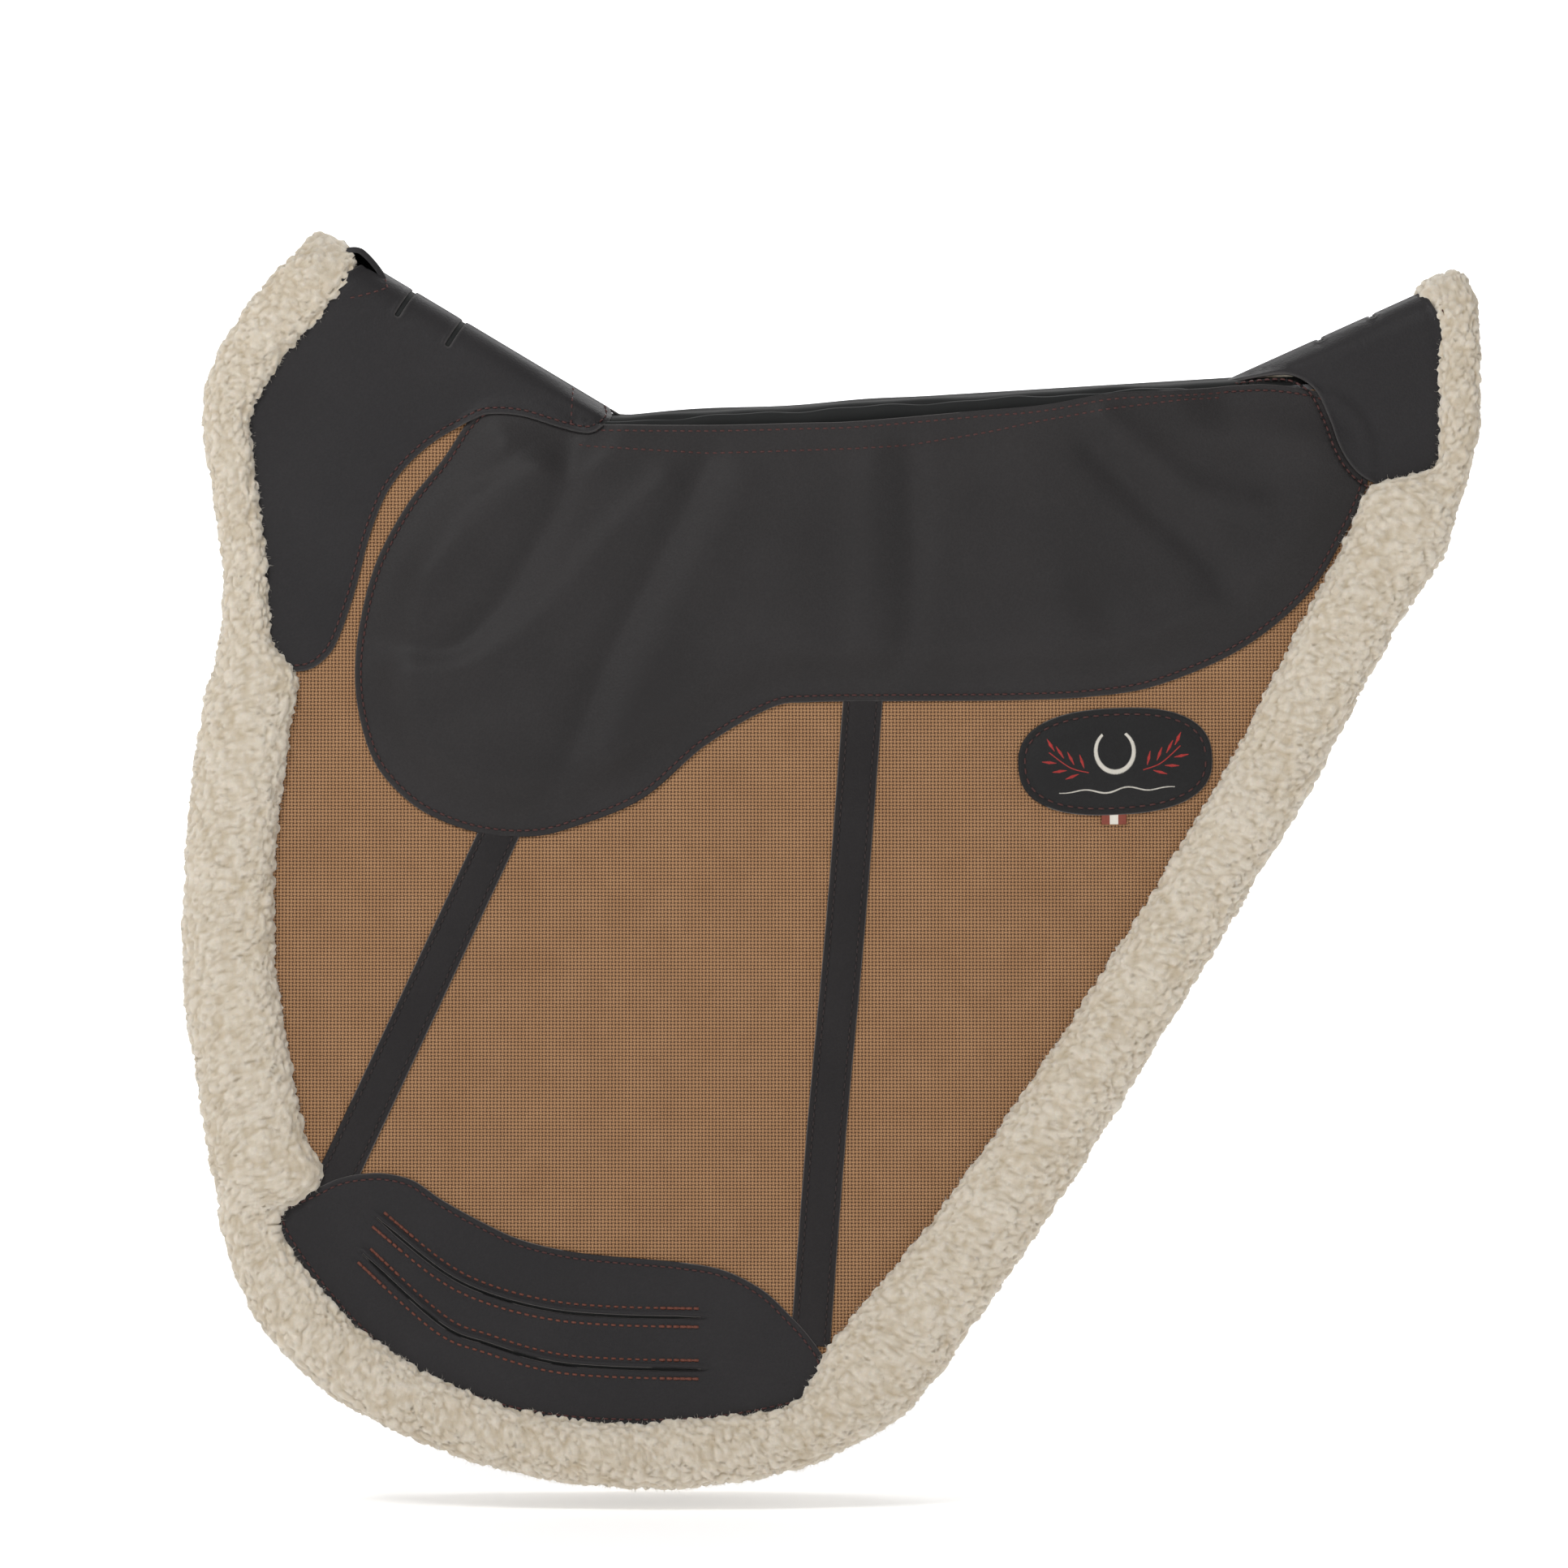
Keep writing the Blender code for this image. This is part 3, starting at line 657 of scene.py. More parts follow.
heading /= np.linalg.norm(heading, axis=1)[:, None]
out = np.cross(heading, face)
out /= np.linalg.norm(out, axis=1)[:, None]
face = np.cross(out, heading)
roll = (middle[:, None] + out[:, None] * (half[:, None] * wide)[..., None]
        + face[:, None] * (thick[:, None] * deep_way)[..., None])
roll_normal = np.cross(np.roll(roll, -1, axis=1) - np.roll(roll, 1, axis=1),
                       np.gradient(roll, axis=0))
roll_normal /= np.maximum(np.linalg.norm(roll_normal, axis=2), 1e-9)[..., None]
if np.sum(roll_normal * (roll - middle[:, None])) < 0:
    roll_normal = -roll_normal
rows = len(roll)
roll, roll_normal = roll.reshape(-1, 3), roll_normal.reshape(-1, 3)
height, crease = curls(roll)
woolly = roll + roll_normal * height[:, None]
woolly[:AROUND, 1] = woolly[-AROUND:, 1] = 0
ends = np.array([middle[0], middle[-1]])
faces = grid_faces(rows, AROUND)
first, last = rows * AROUND, rows * AROUND + 1
for j in range(AROUND):
    faces.append([first, (j + 1) % AROUND, j])
    faces.append([last, last - 1 - AROUND + j - 0, last - 1 - AROUND + (j + 1) % AROUND])
faces = [face_[::-1] for face_ in faces]
ROLLS = ("front_roll", "bottom_roll", "rear_roll", "front_peak_roll", "rear_peak_roll")
for piece in both_sides("fleece_roll", np.vstack([woolly, ends]), faces, sheepskin, "fleece",
                        "fold", ROLLS, {"crease": np.concatenate([crease, [0, 0]])}):
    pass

# %% [markdown]
# ### Loose fibres
#
# Fine ends stick out of the pile, and they are what softens its outline against the leather. Each
# is a thin bent spike of three sides, planted at a random place and pointing out of the surface.

# %% Fibres on a woolly surface
def fibres(places, normals, count, length, thickness, seed):
    """Bent spikes planted on the places, as places and faces."""
    rng = np.random.default_rng(seed)
    pick = rng.integers(0, len(places), count)
    root, up = places[pick], normals[pick]
    lean = rng.normal(size=(count, 3)) * 0.65
    reach = rng.uniform(*length, count)[:, None]
    way = up + lean
    way /= np.linalg.norm(way, axis=1)[:, None]
    bend = np.cross(way, rng.normal(size=(count, 3)))
    bend /= np.linalg.norm(bend, axis=1)[:, None]
    root = root + bend * rng.uniform(-0.8, 0.8, (count, 1)) - up * 0.3
    knee = root + way * reach * 0.55 + bend * reach * 0.12
    tip = root + way * reach * 0.85 + bend * reach * 0.45
    side = np.cross(way, bend)
    rings = []
    for centre, width in ((root, thickness), (knee, thickness * 0.75)):
        for k in range(3):
            turn = 2 * math.pi * k / 3
            rings.append(centre + (bend * math.cos(turn) + side * math.sin(turn)) * width)
    spikes = np.stack([*rings, tip], axis=1).reshape(-1, 3)
    one = [(0, 2, 1)] + [(k, (k + 1) % 3, 3 + (k + 1) % 3, 3 + k) for k in range(3)]
    one += [(3 + k, 3 + (k + 1) % 3, 6) for k in range(3)]
    made = [tuple(v + 7 * i for v in f) for i in range(count) for f in one]
    return spikes, made


FIBRES = 16000
at_edge = np.tile(np.abs(wide) > 0.9, rows)
spikes, spike_faces = fibres(woolly[at_edge], roll_normal[at_edge], FIBRES, (1.2, 3.2), 0.09, 3)
both_sides("fleece_fibres", spikes, spike_faces, sheepskin, "fleece", "fold",
           marks={"crease": np.zeros(len(spikes))})

# %% [markdown]
# ## The tan panel
#
# The cloth isn't quite flat. It is pulled in along its seams and sewn to soft layers, so it
# undulates by a millimetre or so. Everything sewn on it follows the same undulation, so that one
# function gives the depth of the cloth wherever it is needed.

# %% Depth of the cloth
def cloth_depth(places):
    """Depth of the tan cloth's face at places given as x and z."""
    x, z = places.T
    broad = np.sin(x / 37 + 0.9 * np.sin(z / 61)) * np.sin(z / 45 + 1.3 + 0.7 * np.sin(x / 71))
    small = np.sin(x / 13.5 + 1.7 * np.sin(z / 33)) * np.sin(z / 17 + 0.8 * np.sin(x / 29))
    return CLOTH_DEPTH + 0.55 * broad + 0.16 * small


roll_side = flowing([row[:3] for row in SIDE_ROLL], 4.0)
roll_inside = roll_side[:, :2] + normals_of(roll_side[:, :2]) * (roll_side[:, 2:3] - 5)
UNDER_FOLD = 6.0
below = roll_inside[:, 1] < fold_height(roll_inside[:, 0]) - UNDER_FOLD
roll_inside = roll_inside[below]
top_edge = np.array([(x, fold_height(x) - UNDER_FOLD + 13 * ease((-122 - x) / 24))
                     for x in np.arange(roll_inside[-1, 0] - 4, roll_inside[0, 0] + 2, -4)])
panel_outline = np.vstack([roll_inside, top_edge])
flat, triangles, edge = cut_sheet(panel_outline, 4.0, rings=(1.5,))
x, z = flat.T
top = stand(x, cloth_depth(flat), z)
bottom = stand(x, cloth_depth(flat) - 1.2, z)
panels = both_sides("woven_panel", *thick_sheet(triangles, top, bottom), tan_cloth,
                    "tan_mesh", stands_for=("mesh_panel",))
declare_sheet(panel_outline)

# %% [markdown]
# ## The sheepskin lining
#
# Against the horse the same sheepskin covers the whole side. It is cut to the same outline, with
# curls on its inner face only. Two narrow pieces close the spine under the covers.

# %% Sheepskin lining
LINING_BACK = 9.6
flat, triangles, edge = cut_sheet(panel_outline, 3.4, rings=(1.5,))
x, z = flat.T
inner = stand(x, 0.0, z)
height, crease = curls(inner)
inner = stand(x, 0.3 - height * 0.75, z)
lining_places, lining_faces = thick_sheet(triangles, stand(x, LINING_BACK, z), inner)
for piece in both_sides("fleece_lining", lining_places, lining_faces, sheepskin, "fleece",
                        stands_for=("fleece_lining",),
                        marks={"crease": np.concatenate([np.zeros(len(flat)), crease])}):
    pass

# %% [markdown]
# ## The pocket
#
# A large soft leather panel is sewn to the cloth along its sides and bottom, and its top edge is
# the mouth. A foam insert fills it, so it stands out by about a centimetre and slopes down to its
# seam. Soft creases run from its corners and down its middle. A second function gives its depth.

# %% Depth of the pocket
POCKET_SEAM = [
    (-136, -7), (-150, -1), (-166, 2), (-177, 0), (-187, -9), (-199, -27), (-217, -50),
    (-232, -78), (-240, -107), (-243, -135), (-240, -160), (-232, -182), (-217, -199),
    (-201, -209), (-180, -216), (-156, -218), (-135, -214), (-98, -199), (-66, -172),
    (-33, -153), (-12, -150), (30, -149.5), (90, -149), (131, -147), (164, -141), (205, -123),
    (238, -96), (257, -66), (268, -42), (270, -24), (264, -6), (248, 6), (222, 11), (199, 10.5),
]
POCKET_MOUTH = [
    (199, 10.5), (173, 7.5), (139, 5.5), (104, -0.5), (70, -3.5), (12, -8.5), (-19, -9.5),
    (-66, -10.5), (-114, -10), (-136, -7),
]
pocket_seam = flowing(POCKET_SEAM, 2.0)
pocket_mouth = flowing(POCKET_MOUTH, 2.0)
pocket_outline = np.vstack([pocket_seam[:-1], pocket_mouth[:-1]])
LEATHER = 1.6
PUFF = 10.6
# folds in the leather: points, height (a valley is less than 0), width
POCKET_FOLDS = [
    ([(37, -22), (38, -60), (37, -100), (34, -146)], -3.6, 8.5),
    ([(18, -34), (19, -70), (18, -110), (16, -138)], 2.6, 11),
    ([(-65, -26), (-90, -78), (-115, -127), (-131, -168), (-150, -209)], -3.4, 8),
    ([(-48, -44), (-70, -88), (-92, -132), (-112, -176)], 2.3, 12),
    ([(-86, -41), (-115, -70), (-135, -94), (-160, -119), (-189, -135), (-226, -137)], 3.0, 9),
    ([(-133, -16), (-139, -45), (-156, -78), (-172, -102), (-197, -123), (-236, -116)], -3.4, 7),
    ([(-131, -13), (-155, -21), (-182, -38)], -3.0, 6.5),
    ([(-150, -36), (-175, -60), (-208, -86)], 2.0, 10),
    ([(130, -22), (156, -49), (184, -74), (198, -96)], -4.0, 9),
    ([(136, -8), (160, -28), (180, -44), (208, -51)], 3.4, 8.5),
    ([(150, -112), (174, -106)], 1.8, 11), ([(112, -96), (127, -128)], 1.8, 11),
    ([(-30, -70), (-20, -118)], 1.3, 16), ([(-150, -160), (-196, -176)], 1.5, 13),
]


def folded(places, folds):
    """The sum of soft folds, each a ridge or a valley along a curved line."""
    total = np.zeros(len(places))
    for points, height, width in folds:
        away = nearest_open(places, flowing(points, 3.0))
        total += height * np.exp(-(away / width) ** 2)
    return total


def pocket_depth(places):
    """Depth of the pocket leather's face."""
    seam = nearest_open(places, pocket_seam)
    within = ease((seam - 3.6) / 27)
    return cloth_depth(places) + LEATHER + (PUFF + folded(places, POCKET_FOLDS)) * within


def rounded(edge, thickness, radius=None):
    """How much a sheet's upper face drops near its cut edge."""
    radius = radius or thickness * 0.7
    t = np.clip(1 - edge / radius, 0, 1)
    return radius * (1 - np.sqrt(1 - t ** 2)) * 0.8


def groove(edge, inset, depth=0.35, width=0.9):
    """The dip that a row of stitches pulls into leather."""
    return depth * np.exp(-((edge - inset) / width) ** 2)


# %% Pocket panel
STITCH_INSET = 3.1
flat, triangles, edge = cut_sheet(pocket_outline, 3.2)
x, z = flat.T
depth = pocket_depth(flat)
seam = nearest_open(flat, pocket_seam)
top = stand(x, depth - rounded(edge, LEATHER) - groove(seam, STITCH_INSET), z)
bottom = stand(x, depth - LEATHER, z)
rim = np.concatenate([np.where(edge < 0.2, 0.5, 0)] * 2)
panels = both_sides("pocket_panel", *thick_sheet(triangles, top, bottom), pocket_leather,
                    "pocket_leather", stands_for=("pocket_panel", "pocket_facing"),
                    marks={"rim": rim})
declare_sheet(pocket_outline)

# %% [markdown]
# ## Covers over the two ridges
#
# Each cover is one flat piece of leather folded over a ridge. Its pattern is laid out flat: one
# number runs along the ridge, the other down from it. The first few centimetres go round the
# ridge's arch, and the rest hangs down the side and over the end of the pocket.

# %% Laying leather over a ridge
ARCH = 17.4
BEND_OVER_FOLD = 28.0


def pattern(places, ridge):
    """The flat pattern of places that are given as seen from the side."""
    start, along, up = ridge_axes(ridge)
    local = np.asarray(places, float) - start
    drop = np.maximum(-(local @ up), 0)
    round_part = ARCH * np.arccos(1 - np.minimum(drop, ARCH) / ARCH)
    return np.column_stack([local @ along, round_part + np.maximum(drop - ARCH, 0)])


def over_pocket(places):
    """Depth of whatever lies under a cover: the cloth, or the pocket where it reaches."""
    seam = nearest_open(places, pocket_seam)
    signed = np.where(inside(places, pocket_outline), seam, -seam)
    step = ease((signed + 4.5) / 5)
    return cloth_depth(places) + (pocket_depth(places) - cloth_depth(places) + 0.3) * step


def laid(flat, lift, ridge):
    """Places in space of a flat pattern laid over a ridge, this far above what is under it."""
    start, along, up = ridge_axes(ridge)
    turn = np.clip(flat[:, 1] / ARCH, 0, np.pi / 2)
    radius = ARCH + lift
    drop = ARCH - radius * np.cos(turn) + np.maximum(flat[:, 1] - ARCH * np.pi / 2, 0)
    seen = start + flat[:, :1] * along - drop[:, None] * up
    arch = np.column_stack([seen[:, 0], -radius * np.sin(turn), seen[:, 1]])
    hung = stand(seen[:, 0], over_pocket(seen) + lift, seen[:, 1])
    over = seen[:, 1] - fold_height(seen[:, 0])
    share = ease((BEND_OVER_FOLD - over) / BEND_OVER_FOLD)
    share *= ease((flat[:, 1] - ARCH * 0.5) / (ARCH * 0.6))
    return arch + (hung - arch) * share[:, None]


FRONT_COVER = [
    (-239, 73), (-239, 73), (-115.5, -1), (-115.5, -1), (-114, -6), (-118, -11), (-125, -14),
    (-139, -11), (-159, -5), (-175, -4), (-184, -7), (-202, -17), (-216, -29), (-226, -42),
    (-232, -55), (-237, -70), (-241, -86), (-245, -100), (-251, -117), (-257, -127),
    (-268, -134), (-288, -134), (-288, -134), (-291, -108), (-294, -75), (-297, -59),
    (-299, -36), (-301, -17), (-300, 3), (-292, 22), (-279, 45), (-249, 67),
]
REAR_COVER = [
    (199, 13), (199, 13), (199, 12), (216, 15), (228, 16), (237, 13), (244, 6), (250, -8),
    (254, -20), (260, -30), (268, -37), (280, -42), (296, -46), (307, -44), (307, -44),
    (310, -25), (311, -11), (309, 10), (308, 27), (306, 43), (299, 58.2), (299, 58.2),
]
FRONT_SLOTS = (0.195, 0.40)
REAR_SLOTS = (0.49, 0.76)
SLOT_HALF = 1.3
FRONT_REACH, REAR_REACH = 25.0, 8.0  # down from the ridge, along the leather


def cover(name, points, ridge, slots, reach, stands_for):
    """A cover's pattern with its slots cut, laid over its ridge."""
    seen = flowing(points, 1.0, closed=True)
    outline = pattern(seen, ridge)
    outline = evenly(np.vstack([outline, outline[:1]]), 2.0)[:-1]
    length = np.linalg.norm(np.subtract(*ridge))
    holes = []
    for share in slots:
        at = share * length
        hole = [(at - SLOT_HALF, -3), (at + SLOT_HALF, -3), (at + SLOT_HALF, reach),
                (at - SLOT_HALF, reach)]
        holes.append(evenly(np.array([*hole, hole[0]]), 1.3)[:-1])
    flat, triangles, edge = cut_sheet(outline, 2.8, holes, rings=(0.5, 1.2, 2.1, 3.0))
    ridge_side = flat[:, 1] < 0.05
    edge = nearest(flat, [outline[outline[:, 1] > 0.5], *holes])
    edge[ridge_side & (edge > 1)] = 9
    top = laid(flat, LEATHER - rounded(edge, LEATHER) - groove(edge, STITCH_INSET), ridge)
    bottom = laid(flat, np.full(len(flat), 0.1), ridge)
    top[ridge_side, 1] = bottom[ridge_side, 1] = 0
    rim = np.concatenate([rounded(edge, LEATHER) / rounded(0, LEATHER)] * 2)
    pair = both_sides(name, *thick_sheet(triangles[:, ::-1], top, bottom), cover_leather,
                      "cover_leather", "fold", stands_for, {"rim": 0.8 * rim})
    declare_sheet(outline)


cover("front_cover", FRONT_COVER, FRONT_RIDGE, FRONT_SLOTS, FRONT_REACH,
      ("front_spine_cover", "front_wing"))
cover("rear_cover", REAR_COVER, REAR_RIDGE, REAR_SLOTS, REAR_REACH,
      ("rear_spine_cover", "rear_wing"))

# %% [markdown]
# ## Wool under the covers, and the spine's black strip
#
# Under each cover the lining runs across from one side to the other. Between the covers a soft
# black strip joins the two sides. It droops over each fold line, so it is bent across the fold
# and still covers the gap when the sides are lifted.

# %% Spine lining and strip
FRONT_UNDERLAY = [
    (-240, 71), (-240, 71), (-130, 7), (-130, 7), (-136, 3), (-160, 2), (-180, -1), (-205, -9),
    (-291, -20), (-291, -20), (-291, 2), (-284, 18), (-271, 39), (-243, 60),
]
REAR_UNDERLAY = [
    (212, 18.5), (212, 18.5), (214, 18.2), (236, 19), (250, 17), (304, 15), (304, 15),
    (303, 27), (300, 42), (295, 55.5), (295, 55.5),
]
for name, points, ridge, shares in (("front", FRONT_UNDERLAY, FRONT_RIDGE, (0.1, 0.55, 30)),
                                    ("rear", REAR_UNDERLAY, REAR_RIDGE, (0.35, 0.9, 13))):
    outline = pattern(flowing(points, 1.0, closed=True), ridge)
    outline = evenly(np.vstack([outline, outline[:1]]), 3.0)[:-1]
    flat, triangles, edge = cut_sheet(outline, 3.4, rings=(1.5,))
    top = laid(flat, np.full(len(flat), -1.2), ridge)
    under = laid(flat, np.full(len(flat), -12.0), ridge)
    height, crease = curls(under)
    under = laid(flat, -12.0 - 0.6 * height, ridge)
    middle_line = flat[:, 1] < 0.05
    top[middle_line, 1] = under[middle_line, 1] = 0
    for piece in both_sides(name + "_spine_lining",
                            *thick_sheet(triangles[:, ::-1], top, under), sheepskin, "fleece",
                            "fold", (name + "_spine_fleece",),
                            {"crease": np.concatenate([np.zeros(len(flat)), crease])}):
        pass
    length = np.linalg.norm(np.subtract(*ridge))
    low, high, reach = length * shares[0], length * shares[1], shares[2]
    # A black sheet under the cover's slots: what shows through them is painted shade.
    backing = np.array([(low, 0), (high, 0), (high, reach), (low, reach), (low, 0)], float)
    flat, triangles, edge = cut_sheet(evenly(backing, 3.0)[:-1], 5.0, rings=(1.5,))
    top = laid(flat, np.full(len(flat), 0.5), ridge)
    under = laid(flat, np.full(len(flat), -0.9), ridge)
    middle_line = flat[:, 1] < 0.05
    top[middle_line, 1] = under[middle_line, 1] = 0
    both_sides(name + "_cover_backing", *thick_sheet(triangles[:, ::-1], top, under),
               black_lining, "black_lining", "fold")


def extruded(rings):
    """A closed solid through a list of equal rings, with its two ends filled."""
    rings = np.array(rings)
    rows, around = rings.shape[:2]
    faces = grid_faces(rows, around)
    faces += [list(range(around))[::-1], list(range((rows - 1) * around, rows * around))]
    places = rings.reshape(-1, 3)
    a, b, c = (places[k] for k in (faces[0][0], faces[0][1], faces[0][3]))
    inwards = np.dot(np.cross(b - a, c - a), places[:around].mean(0) - a) > 0
    return places, [face[::-1] for face in faces] if inwards else faces


# distance from the middle, height over the fold
STRIP_SECTION = [
    (0, 3.7), (1.6, 3.2), (4, 2.4), (11, 1.9), (14.5, 1.1), (16.8, -0.4), (18.0, -3.0),
    (18.2, -6.2),
    (17.4, -6.4), (16.6, -3.0), (15.2, -0.9), (13, 0.1), (6, 0.7), (0, 0.8),
]
STRIP_ENDS = (-122.0, 241.0)
section = np.array(STRIP_SECTION)
rings = []
for x in np.arange(*STRIP_ENDS, 3.0):
    wave = 0.8 * math.sin(x / 17) + 0.45 * math.sin(x / 7.3 + 1)
    height = fold_height(x) + section[:, 1] + wave * (section[:, 0] / 18) ** 2
    height += 0.6 * math.sin(x / 15) * ease((60 - x) / 60) * ease(1 - section[:, 0] / 6)
    height += 1.6 * ease((-103 - x) / 14) * (1 - section[:, 0] / 18)
    narrow = 1 - 0.22 * ease((x - 196) / 12)
    rings.append(np.column_stack([np.full(len(section), x), -section[:, 0] * narrow, height]))
strip, strip_faces = extruded(rings)
for word, mirror in (("left", 1), ("right", -1)):
    piece = new_piece(f"{word}_spine_strip_skin", strip * (1, mirror, 1),
                      strip_faces if mirror == 1 else [f[::-1] for f in strip_faces])
    piece.data.materials.append(black_lining)
    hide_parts("spine_strip")
    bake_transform(piece)

# %% [markdown]
# ## Inside the pocket
#
# Behind the panel is a smooth black lining whose top is turned over into a small soft roll. It is
# what shows over the mouth. In front of it a foam insert stands in the pocket, and it can be
# pulled up and out.

# %% Pocket lining and insert
# depth, height over the fold
LINING_SECTION = [
    (15.4, -105), (16.4, -105), (16.8, -30), (17.1, -12), (17.9, -8), (18.1, -5),
    (17.4, -2), (15.8, -0.9), (14.2, -2.2), (13.9, -5.5), (14.9, -10), (15.4, -30),
]
section = flowing([*LINING_SECTION, LINING_SECTION[0]], 1.4)[:-1]
rings = []
for x in np.arange(-118, 198, 3.0):
    wave = 0.55 * math.sin(x / 11) + 0.35 * math.sin(x / 4.9 + 2)
    rise = np.clip((section[:, 1] + 14) / 10, 0, 1)
    wave -= 7 * ease((x - 172) / 24)
    rings.append(stand(np.full(len(section), x), section[:, 0] + 0.1 * wave * rise,
                       fold_height(x) + section[:, 1] + wave * rise))
both_sides("pocket_lining", *extruded(rings), black_lining, "black_lining",
           stands_for=("pocket_lining",))

INSERT_LOW, INSERT_HIGH, INSERT_BOTTOM, INSERT_DROP, CORNER = -104.0, 172.0, -118.0, 14.0, 26.0
corner_turn = np.linspace(math.pi, 1.5 * math.pi, 9)
outline = [(INSERT_HIGH, fold_height(INSERT_HIGH) - INSERT_DROP),
           (INSERT_LOW, fold_height(INSERT_LOW) - INSERT_DROP)]
for middle_x, start in ((INSERT_LOW + CORNER, 0), (INSERT_HIGH - CORNER, math.pi / 2)):
    outline += [(middle_x + CORNER * math.cos(a + start),
                 INSERT_BOTTOM + CORNER + CORNER * math.sin(a + start)) for a in corner_turn]
outline = evenly(np.array([*outline, outline[0]]), 3.0)[:-1]
flat, triangles, edge = cut_sheet(outline, 6.0, rings=(0.5, 1.2, 2.2, 3.2))
INSERT_MIDDLE, INSERT_HALF, INSERT_ROUND = 20.5, 1.6, 3.0
puffed = INSERT_HALF * np.sqrt(1 - np.clip(1 - edge / INSERT_ROUND, 0, 1) ** 2) + 0.1
top = stand(flat[:, 0], INSERT_MIDDLE + puffed, flat[:, 1])
bottom = stand(flat[:, 0], INSERT_MIDDLE - puffed, flat[:, 1])
for piece in both_sides("pocket_insert", *thick_sheet(triangles, top, bottom), foam, "foam",
                        "insert", ("pocket_insert",)):
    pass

# %% [markdown]
# ## Bands, wear patch and badge
#
# Two straight bands stiffen the cloth. The wear patch has two curved slits: a strap goes in at
# one and out at the other, behind the bridge between them. The slits' lips stand up a little.

# %% Bands
BAND_WIDTH = 20.0
BAND_LEATHER = 1.3
FRONT_BAND = [(-167, -210), (-211, -304), (-256, -400)]
REAR_BAND = [(14, -144), (5, -260), (-5, -369), (-13, -474)]


def sewn_on(name, outline, finish, slot, thickness, stands_for, holes=(), extra=None,
            spacing=3.0, inset=STITCH_INSET):
    """A flat leather piece sewn on the cloth. extra adds height at places on it."""
    flat, triangles, edge = cut_sheet(outline, spacing, holes)
    x, z = flat.T
    depth = cloth_depth(flat) + thickness + (extra(flat, edge) if extra else 0)
    top = stand(x, depth - rounded(edge, thickness) - groove(edge, inset), z)
    bottom = stand(x, cloth_depth(flat) - 0.2, z)
    rim = np.concatenate([(edge < 0.2) * 1.0] * 2)
    pair = both_sides(name, *thick_sheet(triangles, top, bottom), finish, slot,
                      stands_for=stands_for, marks={"rim": rim})
    declare_sheet(outline)


band_lines = {}
for name, points in (("front_band", FRONT_BAND), ("rear_band", REAR_BAND)):
    band_lines[name] = flowing(points, 2.5)
    outline = ribbon_outline(band_lines[name], BAND_WIDTH)
    outline = evenly(np.vstack([outline, outline[:1]]), 2.5)[:-1]
    sewn_on(name, outline, band_leather, "band_leather", BAND_LEATHER, (name,))

# %% Wear patch
PATCH = [
    (-284, -405), (-284, -405), (-265, -397), (-250, -390), (-235, -387.5), (-224, -388),
    (-212, -391.5), (-198, -401), (-178, -412), (-158, -421), (-132, -427), (-103, -430),
    (-80, -432), (-57, -436), (-37, -446), (-23, -459), (-13, -470), (-6, -481), (-5, -493),
    (-9, -501), (-29, -507), (-57, -512), (-86, -514), (-126, -513), (-159, -508.5), (-182, -502),
    (-203, -494.5), (-219, -486), (-232, -474.5), (-247, -460), (-263, -441), (-277, -421),
]
UPPER_SLIT = [(-231, -410), (-199, -436), (-175, -448), (-144, -456), (-112, -459), (-68, -460)]
LOWER_SLIT = [(-238, -428), (-199, -463), (-175, -473), (-144, -482), (-112, -485), (-68, -486)]
PATCH_LEATHER = 1.9
SLIT_WIDTH = 1.3
patch_outline = flowing(PATCH, 2.0, closed=True)
slit_lines = [flowing(points, 2.0) for points in (UPPER_SLIT, LOWER_SLIT)]
slits = []
for line in slit_lines:
    taper = np.minimum(np.linspace(0, 14, len(line)), np.linspace(14, 0, len(line)))
    shift = normals_of(line) * (SLIT_WIDTH / 2 * np.clip(taper, 0.25, 1))[:, None]
    slits.append(np.vstack([line + shift, (line - shift)[::-1]]))


def lips(flat, edge=None):
    """Leather standing up along the slits, more on their upper side."""
    total = np.zeros(len(flat))
    for line in slit_lines:
        tree_line = evenly(line, 1.0)
        away = nearest_open(flat, line)
        near = np.argmin(np.linalg.norm(flat[:, None] - tree_line[None], axis=2), axis=1)
        above = flat[:, 1] > tree_line[near, 1]
        total += np.where(above, 2.3, 0.1) * np.exp(-((away - 1.7) / 1.7) ** 2)
    bridge = np.minimum(nearest_open(flat, slit_lines[0]), nearest_open(flat, slit_lines[1]))
    return total + 0.5 * ease(bridge / 12) - 0.3


sewn_on("wear_patch", patch_outline, cover_leather, "cover_leather", PATCH_LEATHER,
        ("wear_patch",), slits, lips)
# A black sheet under each slit: what shows through it is painted shade.
for number, line in enumerate(slit_lines):
    outline = evenly(np.vstack([ribbon_outline(line, 9), ribbon_outline(line, 9)[:1]]), 3)[:-1]
    flat, triangles, edge = cut_sheet(outline, 5, rings=(1.5,))
    both_sides(f"slit_backing_{number + 1}",
               *thick_sheet(triangles, stand(flat[:, 0], cloth_depth(flat) + 0.45, flat[:, 1]),
                            stand(flat[:, 0], cloth_depth(flat) - 0.3, flat[:, 1])),
               black_lining, "black_lining")

# %% Badge and tag
BADGE_MIDDLE = np.array((141.0, -180.0))
BADGE_HALF = (49.0, 27.0)
BADGE_TILT = math.radians(3)
BADGE_LEATHER = 1.5


def on_badge(across, up):
    """A place on the badge, from its middle, along its own tilted directions."""
    cosine, sine = math.cos(BADGE_TILT), math.sin(BADGE_TILT)
    return np.column_stack([BADGE_MIDDLE[0] + across * cosine - up * sine,
                            BADGE_MIDDLE[1] + across * sine + up * cosine])


